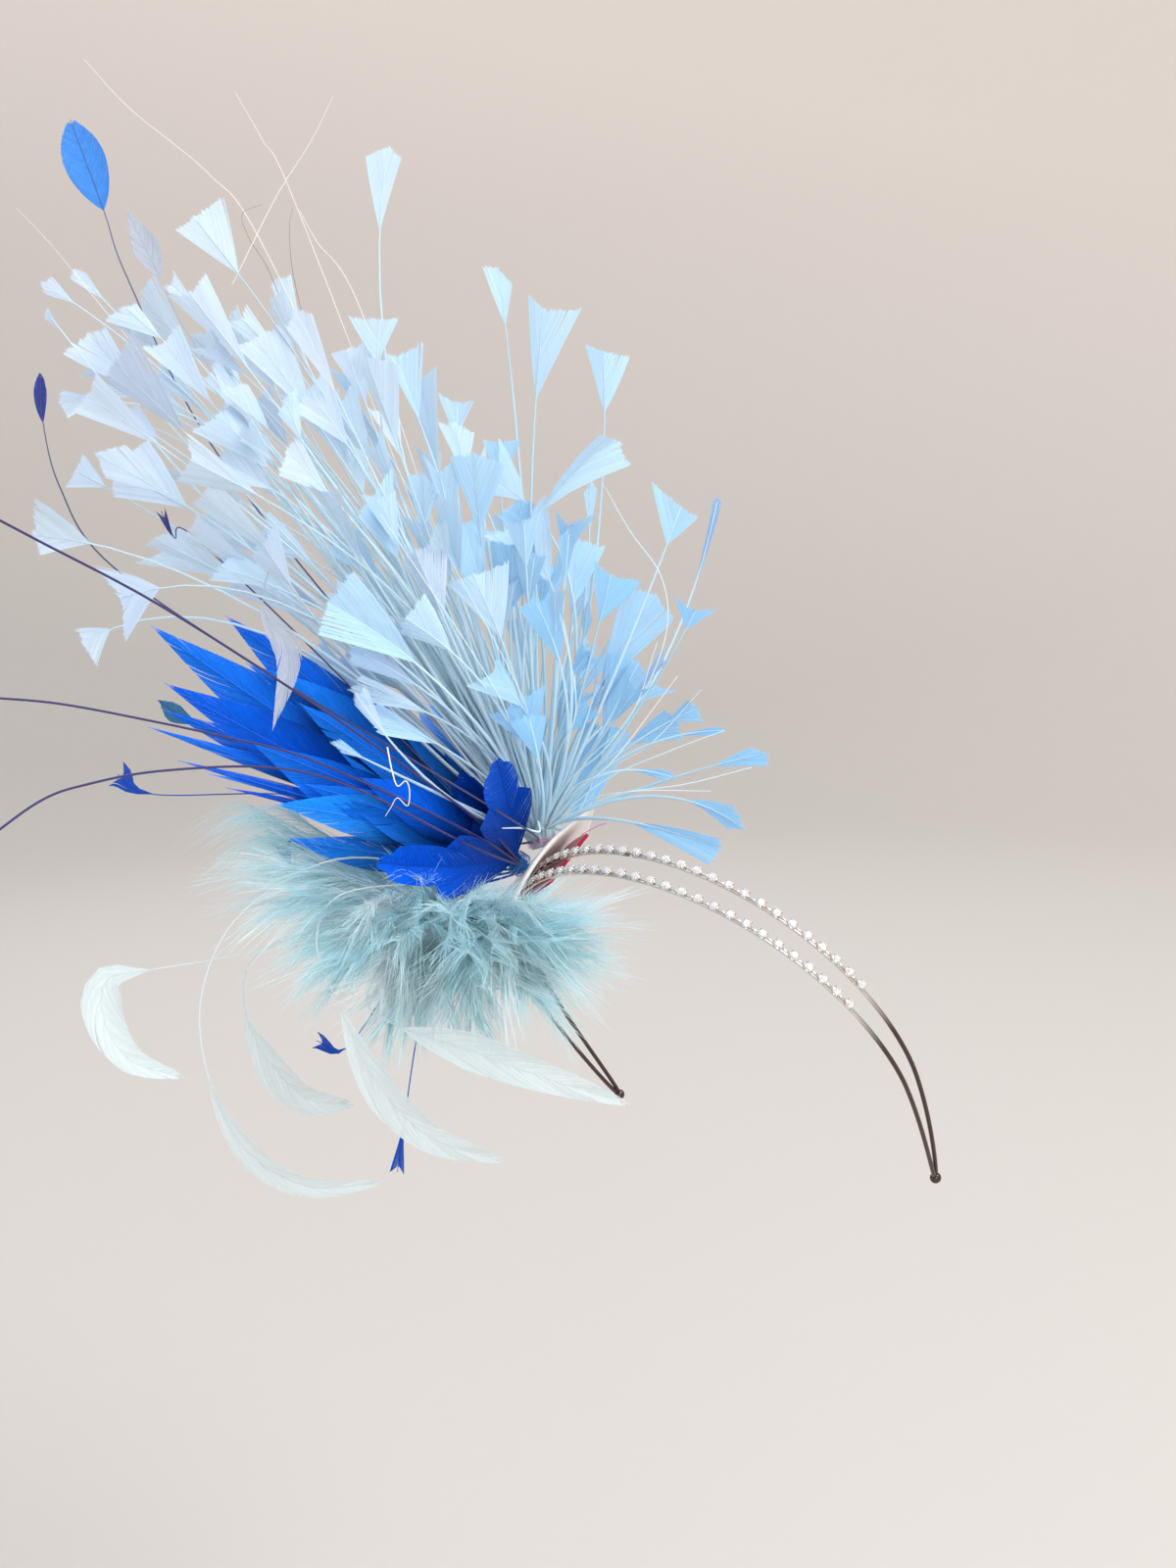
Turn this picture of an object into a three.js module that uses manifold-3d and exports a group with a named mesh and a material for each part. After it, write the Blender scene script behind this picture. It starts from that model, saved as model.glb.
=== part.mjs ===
// Feather fascinator on a double wire head band, in millimetres.
// The origin is the top of the band's arch, where it sits on the crown. +Z is up, the wearer faces -Y and
// the wearer's left is +X. The feathers stand on a small pad on the wearer's right of the crown.
import * as THREE from 'three';
import { mergeVertices } from 'three/addons/utils/BufferGeometryUtils.js';
import Module from 'manifold-3d';

const wasm = await Module();
wasm.setup();

// Driving dimensions, in millimetres and degrees
const BAND = { radius: 73, leg: 52.3, toeIn: 8.5, lean: 33.8, halfGap: 4.4, wire: 1.4, tipBall: 3.6 };
const ROW = { first: 0.256, last: 0.744, pitch: 5.2, seat: 0.95, cupFoot: 1.25, girdle: 1.55, table: 0.85 };
const ROW_HEIGHT = { wall: 1.0, crown: 1.6 };
const PAD = { angle: 129, near: -20, far: 22, halfWidth: 24, thick: 1.6, lift: 4.1, bow: 75, curl: 7 };
const PATCH = { near: -17, far: 8, low: -8, high: 17, drop: 5.2, thick: 1 };
const GAP = 0.3;
const STEM = { half: 0.42, ridge: 0.75 };

// The feathers are laid out on a display plane: the plane through the origin that faces a viewer who stands
// ahead of the wearer and to their left. across and rise are read on it, from the origin, and toward slides a
// point along the viewer's line of sight, so that the outline they see stays as it is read.
const VIEW = { turn: 41.71, tilt: 10.36, roll: -1.62, distance: 590, eyeAcross: -10.5, eyeRise: 24.1 };

const radians = THREE.MathUtils.degToRad;
const point = (x, y, z) => new THREE.Vector3(x, y, z);
const mix = (a, b, share) => a.clone().lerp(b, share);
const range = (count) => Array.from({ length: count }, (_, index) => index);

function viewAxes() {
  const turn = radians(VIEW.turn);
  const tilt = radians(VIEW.tilt);
  const roll = radians(VIEW.roll);
  const near = point(Math.sin(turn) * Math.cos(tilt), -Math.cos(turn) * Math.cos(tilt), Math.sin(tilt));
  const level = point(Math.cos(turn), Math.sin(turn), 0);
  const upright = near.clone().cross(level);
  const across = level.clone().multiplyScalar(Math.cos(roll)).addScaledVector(upright, Math.sin(roll));
  const rise = upright.clone().multiplyScalar(Math.cos(roll)).addScaledVector(level, -Math.sin(roll));
  return { across, rise, near };
}

const SIGHT = viewAxes();

function onSight(across, rise, toward) {
  const scale = (VIEW.distance - toward) / VIEW.distance;
  return SIGHT.across.clone().multiplyScalar(VIEW.eyeAcross + (across - VIEW.eyeAcross) * scale)
    .addScaledVector(SIGHT.rise, VIEW.eyeRise + (rise - VIEW.eyeRise) * scale)
    .addScaledVector(SIGHT.near, toward);
}

// The same share, between 0 and 1, is drawn each time for one feather number and one channel
function chance(feather, channel) {
  const value = Math.sin(feather * 12.9898 + channel * 78.233) * 43758.5453;
  return value - Math.floor(value);
}

const spread = (feather, channel) => 2 * chance(feather, channel) - 1;

// Solids: a mesh's corners are merged, then it can be joined to or cut by another
function solidOf(geometry) {
  const bare = geometry.clone();
  bare.deleteAttribute('normal');
  bare.deleteAttribute('uv');
  const merged = mergeVertices(bare, 1e-4);
  return new wasm.Manifold(new wasm.Mesh({
    numProp: 3,
    vertProperties: new Float32Array(merged.attributes.position.array),
    triVerts: new Uint32Array(merged.index.array),
  }));
}

function geometryOf(solid) {
  const mesh = solid.getMesh();
  const geometry = new THREE.BufferGeometry();
  geometry.setAttribute('position', new THREE.BufferAttribute(new Float32Array(mesh.vertProperties), 3));
  geometry.setIndex(new THREE.BufferAttribute(new Uint32Array(mesh.triVerts), 1));
  const flat = geometry.toNonIndexed();
  flat.computeVertexNormals();
  return flat;
}

// A closed body through rings of the same number of corners, each ring seen anticlockwise from its end
function loft(rings) {
  const corners = rings[0].length;
  const triangles = [];
  const facet = (a, b, c) => triangles.push(...a.toArray(), ...b.toArray(), ...c.toArray());
  for (let step = 0; step < rings.length - 1; step += 1) {
    for (let k = 0; k < corners; k += 1) {
      const next = (k + 1) % corners;
      facet(rings[step][k], rings[step][next], rings[step + 1][next]);
      facet(rings[step][k], rings[step + 1][next], rings[step + 1][k]);
    }
  }
  const last = rings.at(-1);
  for (let k = 1; k < corners - 1; k += 1) {
    facet(rings[0][0], rings[0][k + 1], rings[0][k]);
    facet(last[0], last[k], last[k + 1]);
  }
  const geometry = new THREE.BufferGeometry();
  geometry.setAttribute('position', new THREE.Float32BufferAttribute(triangles, 3));
  return geometry;
}

// A sheet with a thickness: surface(u, v, side) gives the outer face for side 1 and the inner face for side 0
function sheet(surface, columns, rows) {
  const face = (side) => range(columns + 1).map((i) => range(rows + 1)
    .map((j) => surface(i / columns, j / rows, side)));
  const outer = face(1);
  const inner = face(0);
  const rings = inner.map((column, i) => [...column, ...outer[i].reverse()]);
  return loft(rings);
}

// Head band: in its own leaning plane, an arc over the crown with two straight legs that lean in a little
const lean = radians(BAND.lean);
const bandLength = Math.PI * BAND.radius + 2 * BAND.leg;
const bandDepth = point(0, Math.cos(lean), Math.sin(lean));
const inBandPlane = (x, height) => point(x, -height * Math.sin(lean), height * Math.cos(lean));

function bandPlace(share) {
  const run = share * bandLength;
  const arcRun = THREE.MathUtils.clamp(run - BAND.leg, 0, Math.PI * BAND.radius);
  const angle = arcRun / BAND.radius;
  const legRun = Math.max(BAND.leg - run, run - bandLength + BAND.leg, 0);
  const inward = Math.sign(share - 0.5) * BAND.toeIn * (legRun / BAND.leg) ** 1.5;
  const sideways = BAND.radius * Math.cos(angle) + inward;
  const height = BAND.radius * (Math.sin(angle) - 1) - legRun;
  return { place: inBandPlane(sideways, height), out: inBandPlane(Math.cos(angle), Math.sin(angle)) };
}

// side is -1 for the front wire and +1 for the rear one
function wirePlace(share, side, lift = 0) {
  const { place, out } = bandPlace(share);
  const gap = side * BAND.halfGap * Math.sqrt(Math.max(Math.sin(Math.PI * share), 0));
  return place.addScaledVector(bandDepth, gap).addScaledVector(out, lift);
}

function headband() {
  const steps = 38;
  const sides = 6;
  const section = new THREE.Shape(range(sides).map((k) => {
    const angle = 2 * Math.PI * k / sides;
    return new THREE.Vector2(Math.cos(angle), Math.sin(angle)).multiplyScalar(BAND.wire / 2);
  }));
  const wires = [-1, 1].map((side) => {
    const path = new THREE.CatmullRomCurve3(range(steps + 1).map((k) => wirePlace(k / steps, side)));
    return solidOf(new THREE.ExtrudeGeometry(section, { steps, extrudePath: path, bevelEnabled: false }));
  });
  const balls = [0, 1].map((share) => {
    const ball = new THREE.IcosahedronGeometry(BAND.tipBall / 2, 1);
    ball.translate(...bandPlace(share).place.toArray());
    return solidOf(ball);
  });
  return [wires[1], ...balls].reduce((joined, part) => joined.add(part), wires[0]);
}

// A chain of cut stones: each cup has eight walls and a stone with a table and eight facets, and a link as
// wide as one wall joins it to the next cup, so that the whole chain is one body
function crystalRow(side) {
  const count = Math.floor((ROW.last - ROW.first) * bandLength / ROW.pitch);
  const corners = 8;
  const levels = [
    { radius: ROW.cupFoot, height: ROW.seat },
    { radius: ROW.girdle, height: ROW.seat + ROW_HEIGHT.wall },
    { radius: ROW.table, height: ROW.seat + ROW_HEIGHT.crown },
  ];
  const cups = range(count + 1).map((index) => {
    const share = ROW.first + (ROW.last - ROW.first) * index / count;
    const { out } = bandPlace(share);
    const along = wirePlace(share + 0.002, side).sub(wirePlace(share - 0.002, side)).normalize();
    const wide = out.clone().cross(along).normalize();
    return levels.map(({ radius, height }) => range(corners).map((k) => {
      const angle = 2 * Math.PI * (k + 0.5) / corners;
      return wirePlace(share, side, height)
        .addScaledVector(along, radius * Math.cos(angle))
        .addScaledVector(wide, radius * Math.sin(angle));
    }));
  });
  const triangles = [];
  const facet = (...corner) => corner.forEach((c) => triangles.push(...c.toArray()));
  const quad = (a, b, c, d) => {
    facet(a, b, c);
    facet(a, c, d);
  };
  const forward = corners - 1;
  const backward = corners / 2 - 1;
  cups.forEach(([foot, girdle, table], index) => {
    for (let k = 0; k < corners; k += 1) {
      const next = (k + 1) % corners;
      const linked = (k === forward && index < count) || (k === backward && index > 0);
      if (!linked) quad(foot[k], foot[next], girdle[next], girdle[k]);
      quad(girdle[k], girdle[next], table[next], table[k]);
    }
    for (let k = 1; k < corners - 1; k += 1) {
      facet(foot[0], foot[k + 1], foot[k]);
      facet(table[0], table[k], table[k + 1]);
    }
    if (index === count) return;
    const [nextFoot, nextGirdle] = cups[index + 1];
    const here = [foot[forward], foot[0], girdle[0], girdle[forward]];
    const there = [nextFoot[backward + 1], nextFoot[backward], nextGirdle[backward], nextGirdle[backward + 1]];
    for (let k = 0; k < 4; k += 1) {
      const next = (k + 1) % 4;
      quad(here[k], here[next], there[next], there[k]);
    }
  });
  const geometry = new THREE.BufferGeometry();
  geometry.setAttribute('position', new THREE.Float32BufferAttribute(triangles, 3));
  return solidOf(geometry);
}

// Pad: its plane touches the band's arch at PAD.angle. away runs on along the arch to the wearer's right, wide
// runs towards the wearer's back, and lift is outwards
const padAngle = radians(PAD.angle);
const padOut = inBandPlane(Math.cos(padAngle), Math.sin(padAngle));
const padAway = inBandPlane(-Math.sin(padAngle), Math.cos(padAngle));
const padSeat = inBandPlane(BAND.radius * Math.cos(padAngle), BAND.radius * (Math.sin(padAngle) - 1));

const padPlace = (away, wide, lift) => padSeat.clone()
  .addScaledVector(padAway, away)
  .addScaledVector(bandDepth, wide)
  .addScaledVector(padOut, PAD.lift + lift);

function basePad(grow = 0) {
  return solidOf(sheet((u, v, side) => {
    const wide = (PAD.halfWidth + grow) * (2 * u - 1);
    const roundEnd = Math.sqrt(1 - 0.6 * (2 * u - 1) ** 4);
    const away = PAD.near - grow + (PAD.far - PAD.near + 2 * grow) * roundEnd * v;
    const curl = PAD.curl * v * (Math.max(wide, 0) / PAD.halfWidth) ** 2;
    const bow = wide ** 2 / (2 * PAD.bow);
    return padPlace(away, wide, (side - 0.5) * (PAD.thick + 2 * grow) - bow - curl);
  }, 10, 3));
}

// The felt patch lies under the wires, follows the arch and holds the band against the pad
function redPatch() {
  return solidOf(sheet((u, v, side) => {
    const wide = PATCH.low + (PATCH.high - PATCH.low) * u;
    const away = PATCH.near + (PATCH.far - PATCH.near) * v;
    const arch = away ** 2 / (2 * BAND.radius);
    return padPlace(away, wide, (side - 1) * PATCH.thick - PATCH.drop - arch);
  }, 3, 6));
}

// Kinds of vane: half gives the half width at a share x of the vane's length, as a share of the widest half,
// knots are the shares that get a section, ridge is how thick the middle is, and stem counts the sections below
// the vane
const bulge = (x, early, sharp) => Math.sin(Math.PI * x ** early) ** sharp;
const VANES = {
  fan: { half: (x) => 0.1 + 0.9 * x ** 0.85, knots: [0, 0.5, 1], ridge: 1.1, stem: 2 },
  blade: { half: (x) => bulge(x, 0.75, 0.8), knots: [0, 0.2, 0.45, 0.72, 0.99], ridge: 1.1, stem: 2 },
  spade: { half: (x) => bulge(x, 1.25, 0.7), knots: [0, 0.35, 0.62, 0.85, 0.98], ridge: 1.1, stem: 3 },
  curl: { half: (x) => bulge(x, 0.7, 0.6), knots: [0, 0.12, 0.3, 0.5, 0.7, 0.85, 0.99], ridge: 1.1, stem: 5 },
  lock: { half: (x) => 0.5 + 0.9 * x - 1.3 * x ** 2, knots: [0, 0.5, 1], ridge: 5, stem: 0 },
  quill: { half: () => 0, knots: [0, 0.2, 0.4, 0.6, 0.8, 1], ridge: 0.75, stem: 0 },
};

// A feather is a ribbon with a low ridge, lofted along its rachis: the stem first, then the vane from the
// share vane of the path. The vane's end is cut: its left and right corners reach on and its middle is notched
const SQUARE = { left: 0, right: 0, notch: 0 };

function feather({ path, vane, kind, width, face, cut = SQUARE }, grow = 0) {
  const { half, knots, ridge, stem } = VANES[kind];
  const stations = [
    ...range(stem).map((index) => ({ share: vane * index / stem, half: 0, ridge: STEM.ridge })),
    ...knots.map((x) => ({ share: vane + (1 - vane) * x, half: half(x) * width / 2, ridge })),
  ];
  const rings = stations.map((station, index) => {
    const place = path.getPoint(station.share);
    const along = path.getTangent(station.share);
    const side = along.clone().cross(face).normalize();
    const up = side.clone().cross(along).normalize();
    const reach = Math.max(station.half, STEM.half) + grow;
    const height = (station.half > STEM.half ? station.ridge : STEM.ridge) + 2 * grow;
    const last = index === stations.length - 1;
    const trim = last ? cut : SQUARE;
    const over = last ? grow : -grow * (index === 0);
    const corner = (across, lift, onward) => place.clone()
      .addScaledVector(side, across).addScaledVector(up, lift).addScaledVector(along, onward + over);
    const right = (lift) => corner(reach, lift, trim.right);
    const left = (lift) => corner(-reach, lift, trim.left);
    const top = corner(0, height, -trim.notch);
    return grow ? [right(-grow), left(-grow), left(grow), top, right(grow)] : [right(0), left(0), top];
  });
  return solidOf(loft(rings));
}

const bentPath = (root, control, tip) => new THREE.QuadraticBezierCurve3(root, control, tip);
const rolledFace = (along, roll) => {
  const side = along.clone().cross(SIGHT.near).normalize();
  const up = side.clone().cross(along).normalize();
  return up.applyAxisAngle(along.clone().normalize(), radians(roll));
};

// Bound heads: the wound roots of a plume, standing on the pad and opening outwards
const HEADS = {
  sky: { away: -11, wide: 7, toward: [-34, 34, -30], length: 17, foot: 3.6, mouth: 8.5 },
  royal: { away: -15, wide: -5, toward: [-48, 12, -14], length: 15, foot: 3.2, mouth: 6.5 },
};

function headFrame({ away, wide, toward, length }) {
  const foot = padPlace(away, wide, PAD.thick / 2 + GAP - wide ** 2 / (2 * PAD.bow));
  const axis = onSight(...toward).sub(foot).normalize();
  return { foot, axis, mouth: foot.clone().addScaledVector(axis, length) };
}

function headSolid(head, grow = 0) {
  const { foot, axis } = headFrame(head);
  const sides = 8;
  const side = axis.clone().cross(point(0, 0, 1)).normalize();
  const wide = axis.clone().cross(side).normalize();
  const start = 2.2;
  const rows = [
    { run: start - grow, radius: head.foot },
    { run: head.length * 0.55, radius: (head.foot + head.mouth) / 2.2 },
    { run: head.length * 0.9 + grow, radius: head.mouth },
  ];
  return solidOf(loft(rows.map(({ run, radius }) => range(sides).map((k) => {
    const angle = 2 * Math.PI * k / sides;
    return foot.clone().addScaledVector(axis, run)
      .addScaledVector(side, (radius + grow) * Math.cos(angle))
      .addScaledVector(wide, (radius + grow) * Math.sin(angle));
  }))));
}

// Where a feather leaves its head: its place in the bundle follows the way that its tip lies
function rootIn(head, tip, index) {
  const { foot, axis } = headFrame(head);
  const start = foot.clone().addScaledVector(axis, head.length * 0.45);
  const away = tip.clone().sub(start).normalize();
  const sideways = away.addScaledVector(axis, -away.dot(axis));
  const reach = head.foot * (0.5 + 0.5 * chance(index, 9));
  return start.addScaledVector(sideways, reach);
}

// Fan-tipped feathers that stand out. tip and base are the middle of the cut end and the foot of the vane, on
// the display plane, toward is their depth, and width is across the cut end
const SKY_FANS = [
  { tip: [-129, 194], base: [-111, 173], toward: 5, width: 18, roll: 10, notch: 1 },
  { tip: [-70, 211], base: [-74, 182], toward: -25, width: 13, roll: 35, notch: -4 },
  { tip: [-72, 164], base: [-72, 145], toward: 0, width: 16, roll: 15, notch: 1 },
  { tip: [-37, 176], base: [-36, 155], toward: -40, width: 11, roll: 30, notch: -2 },
  { tip: [-23, 170], base: [-29, 135], toward: -5, width: 17, roll: -10, notch: 5 },
  { tip: [-6, 153], base: [-5, 132], toward: -30, width: 15, roll: 10, notch: 0 },
  { tip: [-4, 125], base: [-31, 107], toward: 5, width: 13, roll: 20, notch: -3 },
  { tip: [-10, 113], base: [-10, 96], toward: -45, width: 7, roll: 50, notch: -2 },
  { tip: [18, 109], base: [11, 93], toward: -15, width: 19, roll: 10, notch: 3 },
  { tip: [23, 79], base: [17, 69], toward: -5, width: 14, roll: -15, notch: 3 },
  { tip: [-175, 98], base: [-152, 96], toward: 20, width: 18, roll: -20, notch: -1 },
  { tip: [-152, 78], base: [-133, 86], toward: 30, width: 25, roll: 0, notch: 2 },
  { tip: [-160, 66], base: [-150, 73], toward: 0, width: 16, roll: 20, notch: -1 },
  { tip: [-151, 117], base: [-125, 105], toward: -15, width: 22, roll: 10, notch: -2 },
  { tip: [-173, 173], base: [-158, 164], toward: -20, width: 9, roll: 40, notch: 0 },
  { tip: [-168, 137], base: [-152, 141], toward: -10, width: 11, roll: 15, notch: 0 },
  { tip: [-27, 80], base: [-15, 59], toward: 12, width: 14, roll: 0, notch: 1 },
  { tip: [-62, 94], base: [-54, 71], toward: 20, width: 14, roll: -10, notch: 0 },
  { tip: [-89, 79], base: [-61, 60], toward: 25, width: 22, roll: 5, notch: 1 },
  { tip: [-77, 51], base: [-56, 46], toward: 10, width: 9, roll: 30, notch: -6 },
  { tip: [-73, 45], base: [-53, 36], toward: 16, width: 9, roll: 20, notch: -6 },
  { tip: [-28, 44], base: [-24, 30], toward: 8, width: 12, roll: 20, notch: -2 },
  { tip: [-4, 40], base: [-12, 12], toward: -55, width: 18, roll: 0, notch: -2 },
  { tip: [23, 47], base: [12, 42], toward: -20, width: 9, roll: 20, notch: 0 },
  { tip: [41, 33], base: [25, 29], toward: -25, width: 7, roll: 0, notch: -2 },
  { tip: [34, 12], base: [19, 23], toward: -15, width: 8, roll: 25, notch: -3 },
  { tip: [26, 6], base: [4, 15], toward: -8, width: 9, roll: 15, notch: -4 },
];

// The rest of the spray, drawn round a few places. radius is how far the tips lie from the middle of the
// cluster on the display plane, deep how far before and behind it, and size the usual length of a vane
const SKY_CLUSTERS = [
  { across: -141, rise: 150, toward: -10, radius: 25, deep: 45, size: 20, count: 7 },
  { across: -104, rise: 150, toward: -20, radius: 22, deep: 60, size: 20, count: 8 },
  { across: -74, rise: 126, toward: -15, radius: 22, deep: 60, size: 20, count: 8 },
  { across: -118, rise: 108, toward: -10, radius: 28, deep: 55, size: 22, count: 9 },
  { across: -46, rise: 112, toward: -20, radius: 20, deep: 60, size: 19, count: 7 },
  { across: -18, rise: 92, toward: -30, radius: 18, deep: 55, size: 18, count: 6 },
  { across: -86, rise: 78, toward: -45, radius: 20, deep: 35, size: 21, count: 5 },
  { across: -2, rise: 58, toward: -40, radius: 15, deep: 45, size: 15, count: 5 },
];

function skyFeathers() {
  const head = HEADS.sky;
  const { axis } = headFrame(head);
  const heroes = SKY_FANS.map(({ tip, base, toward, width, roll, notch }, index) => {
    const end = onSight(...tip, toward);
    const foot = onSight(...base, toward - 2);
    const root = rootIn(head, end, index);
    const back = foot.clone().sub(end).normalize();
    const control = foot.clone().addScaledVector(back, 0.32 * foot.distanceTo(root));
    const path = bentPath(root, control, end);
    const length = path.getLength();
    return {
      path, kind: 'fan', width,
      vane: 1 - end.distanceTo(foot) / length,
      face: rolledFace(end.clone().sub(foot), roll),
      cut: { left: 2 * spread(index, 3), right: 2 * spread(index, 4), notch },
    };
  });
  const fill = SKY_CLUSTERS.flatMap((cluster, group) => range(cluster.count).map((member) => {
    const index = 100 * (group + 1) + member;
    const turn = 2 * Math.PI * chance(index, 0);
    const reach = cluster.radius * Math.sqrt(chance(index, 1));
    const end = onSight(
      cluster.across + reach * Math.cos(turn),
      cluster.rise + reach * Math.sin(turn),
      cluster.toward + cluster.deep * spread(index, 2),
    );
    const root = rootIn(head, end, index);
    const distance = root.distanceTo(end);
    const control = root.clone().addScaledVector(axis, 0.4 * distance)
      .lerp(mix(root, end, 0.5), 0.35 + 0.4 * chance(index, 5));
    const path = bentPath(root, control, end);
    const size = cluster.size * (0.8 + 0.45 * chance(index, 6));
    return {
      path, kind: 'fan',
      width: size * (0.5 + 0.35 * chance(index, 7)),
      vane: 1 - size / path.getLength(),
      face: rolledFace(end.clone().sub(control), 70 * spread(index, 8)),
      cut: { left: 2.5 * spread(index, 3), right: 2.5 * spread(index, 4), notch: 2 * spread(index, 10) },
    };
  }));
  return [...heroes, ...fill];
}

// Pointed blades. tip is on the display plane, bend bows the blade upwards there, vane is where its web begins
const ROYAL_BLADES = [
  { tip: [-118, 74], toward: -12, width: 16, roll: 10, bend: 6, vane: 0.3 },
  { tip: [-140, 71], toward: 0, width: 17, roll: 0, bend: -4, vane: 0.35 },
  { tip: [-136, 54], toward: 12, width: 17, roll: -10, bend: -3, vane: 0.3 },
  { tip: [-136, 46], toward: -14, width: 12, roll: 20, bend: 2, vane: 0.4 },
  { tip: [-141, 41], toward: 4, width: 14, roll: 5, bend: 3, vane: 0.35 },
  { tip: [-132, 31], toward: 16, width: 15, roll: -15, bend: 2, vane: 0.3 },
  { tip: [-123, 27], toward: -20, width: 12, roll: 30, bend: 4, vane: 0.4 },
  { tip: [-118, 23], toward: -4, width: 12, roll: 10, bend: 3, vane: 0.4 },
  { tip: [-103, 18], toward: 18, width: 19, roll: -5, bend: 5, vane: 0.25 },
  { tip: [-87, 60], toward: -30, width: 16, roll: 20, bend: -6, vane: 0.3 },
  { tip: [-40, 30], toward: -4, width: 12, roll: 25, bend: 2, vane: 0.3 },
  { tip: [-70, 1], toward: 4, width: 22, roll: -10, bend: 1, vane: 0.2 },
  { tip: [-105, 48], toward: -55, width: 15, roll: 30, bend: 8, vane: 0.3 },
  { tip: [-96, 30], toward: -70, width: 16, roll: 40, bend: 8, vane: 0.3 },
  { tip: [-84, 6], toward: -62, width: 17, roll: 60, bend: 8, vane: 0.3 },
  { tip: [-72, 34], toward: -92, width: 15, roll: 50, bend: 10, vane: 0.3 },
];

function royalFeathers() {
  const head = HEADS.royal;
  return ROYAL_BLADES.map(({ tip, toward, width, roll, bend, vane }, index) => {
    const end = onSight(...tip, toward);
    const root = rootIn(head, end, 800 + index);
    const control = mix(root, end, 0.5).addScaledVector(SIGHT.rise, bend)
      .addScaledVector(SIGHT.near, 3 * spread(800 + index, 2));
    return {
      path: bentPath(root, control, end), kind: 'blade', width, vane,
      face: rolledFace(end.clone().sub(root), roll),
    };
  });
}

// Marabou: a soft core on the pad's front edge, and locks that stand out of it. The core's radii run along the
// pad, forwards and outwards
const PUFF = { away: 2, wide: -24, lift: 7, along: 19, forward: 13, out: 11, lock: 18, drop: 4 };
const LOCKS = [
  { across: -78, rise: -8, toward: 0, radius: 36, deep: 22, count: 10 },
  { across: -42, rise: -28, toward: 22, radius: 26, deep: 8, count: 6 },
  { across: -74, rise: -12, toward: -58, radius: 24, deep: 18, count: 5 },
  { across: -48, rise: 2, toward: -88, radius: 18, deep: 10, count: 3 },
];

function puffSolid(grow = 0) {
  const middle = padPlace(PUFF.away, PUFF.wide, PUFF.lift);
  const forwards = bandDepth.clone().negate();
  const core = new THREE.SphereGeometry(1, 10, 7);
  core.scale(PUFF.along + grow, PUFF.forward + grow, PUFF.out + grow);
  core.applyMatrix4(new THREE.Matrix4().makeBasis(padAway, forwards, padOut).setPosition(middle));
  const locks = LOCKS.flatMap((cluster, group) => range(cluster.count).map((member) => {
    const index = 900 + 50 * group + member;
    const turn = 2 * Math.PI * (member + chance(index, 0)) / cluster.count;
    const reach = cluster.radius * (0.6 + 0.4 * chance(index, 1));
    const end = onSight(
      cluster.across + reach * Math.cos(turn),
      cluster.rise + reach * Math.sin(turn),
      cluster.toward + cluster.deep * spread(index, 2),
    );
    const outward = end.clone().sub(middle).normalize();
    const root = middle.clone()
      .addScaledVector(padAway, 0.7 * PUFF.along * outward.dot(padAway))
      .addScaledVector(forwards, 0.7 * PUFF.forward * outward.dot(forwards))
      .addScaledVector(padOut, 0.7 * PUFF.out * outward.dot(padOut));
    const control = mix(root, end, 0.55).addScaledVector(padOut, PUFF.drop);
    return feather({
      path: bentPath(root, control, end), vane: 0, kind: 'lock', width: PUFF.lock,
      face: rolledFace(outward, 60 * spread(index, 4)),
    }, grow);
  }));
  return joined([solidOf(core), ...locks]);
}

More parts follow.
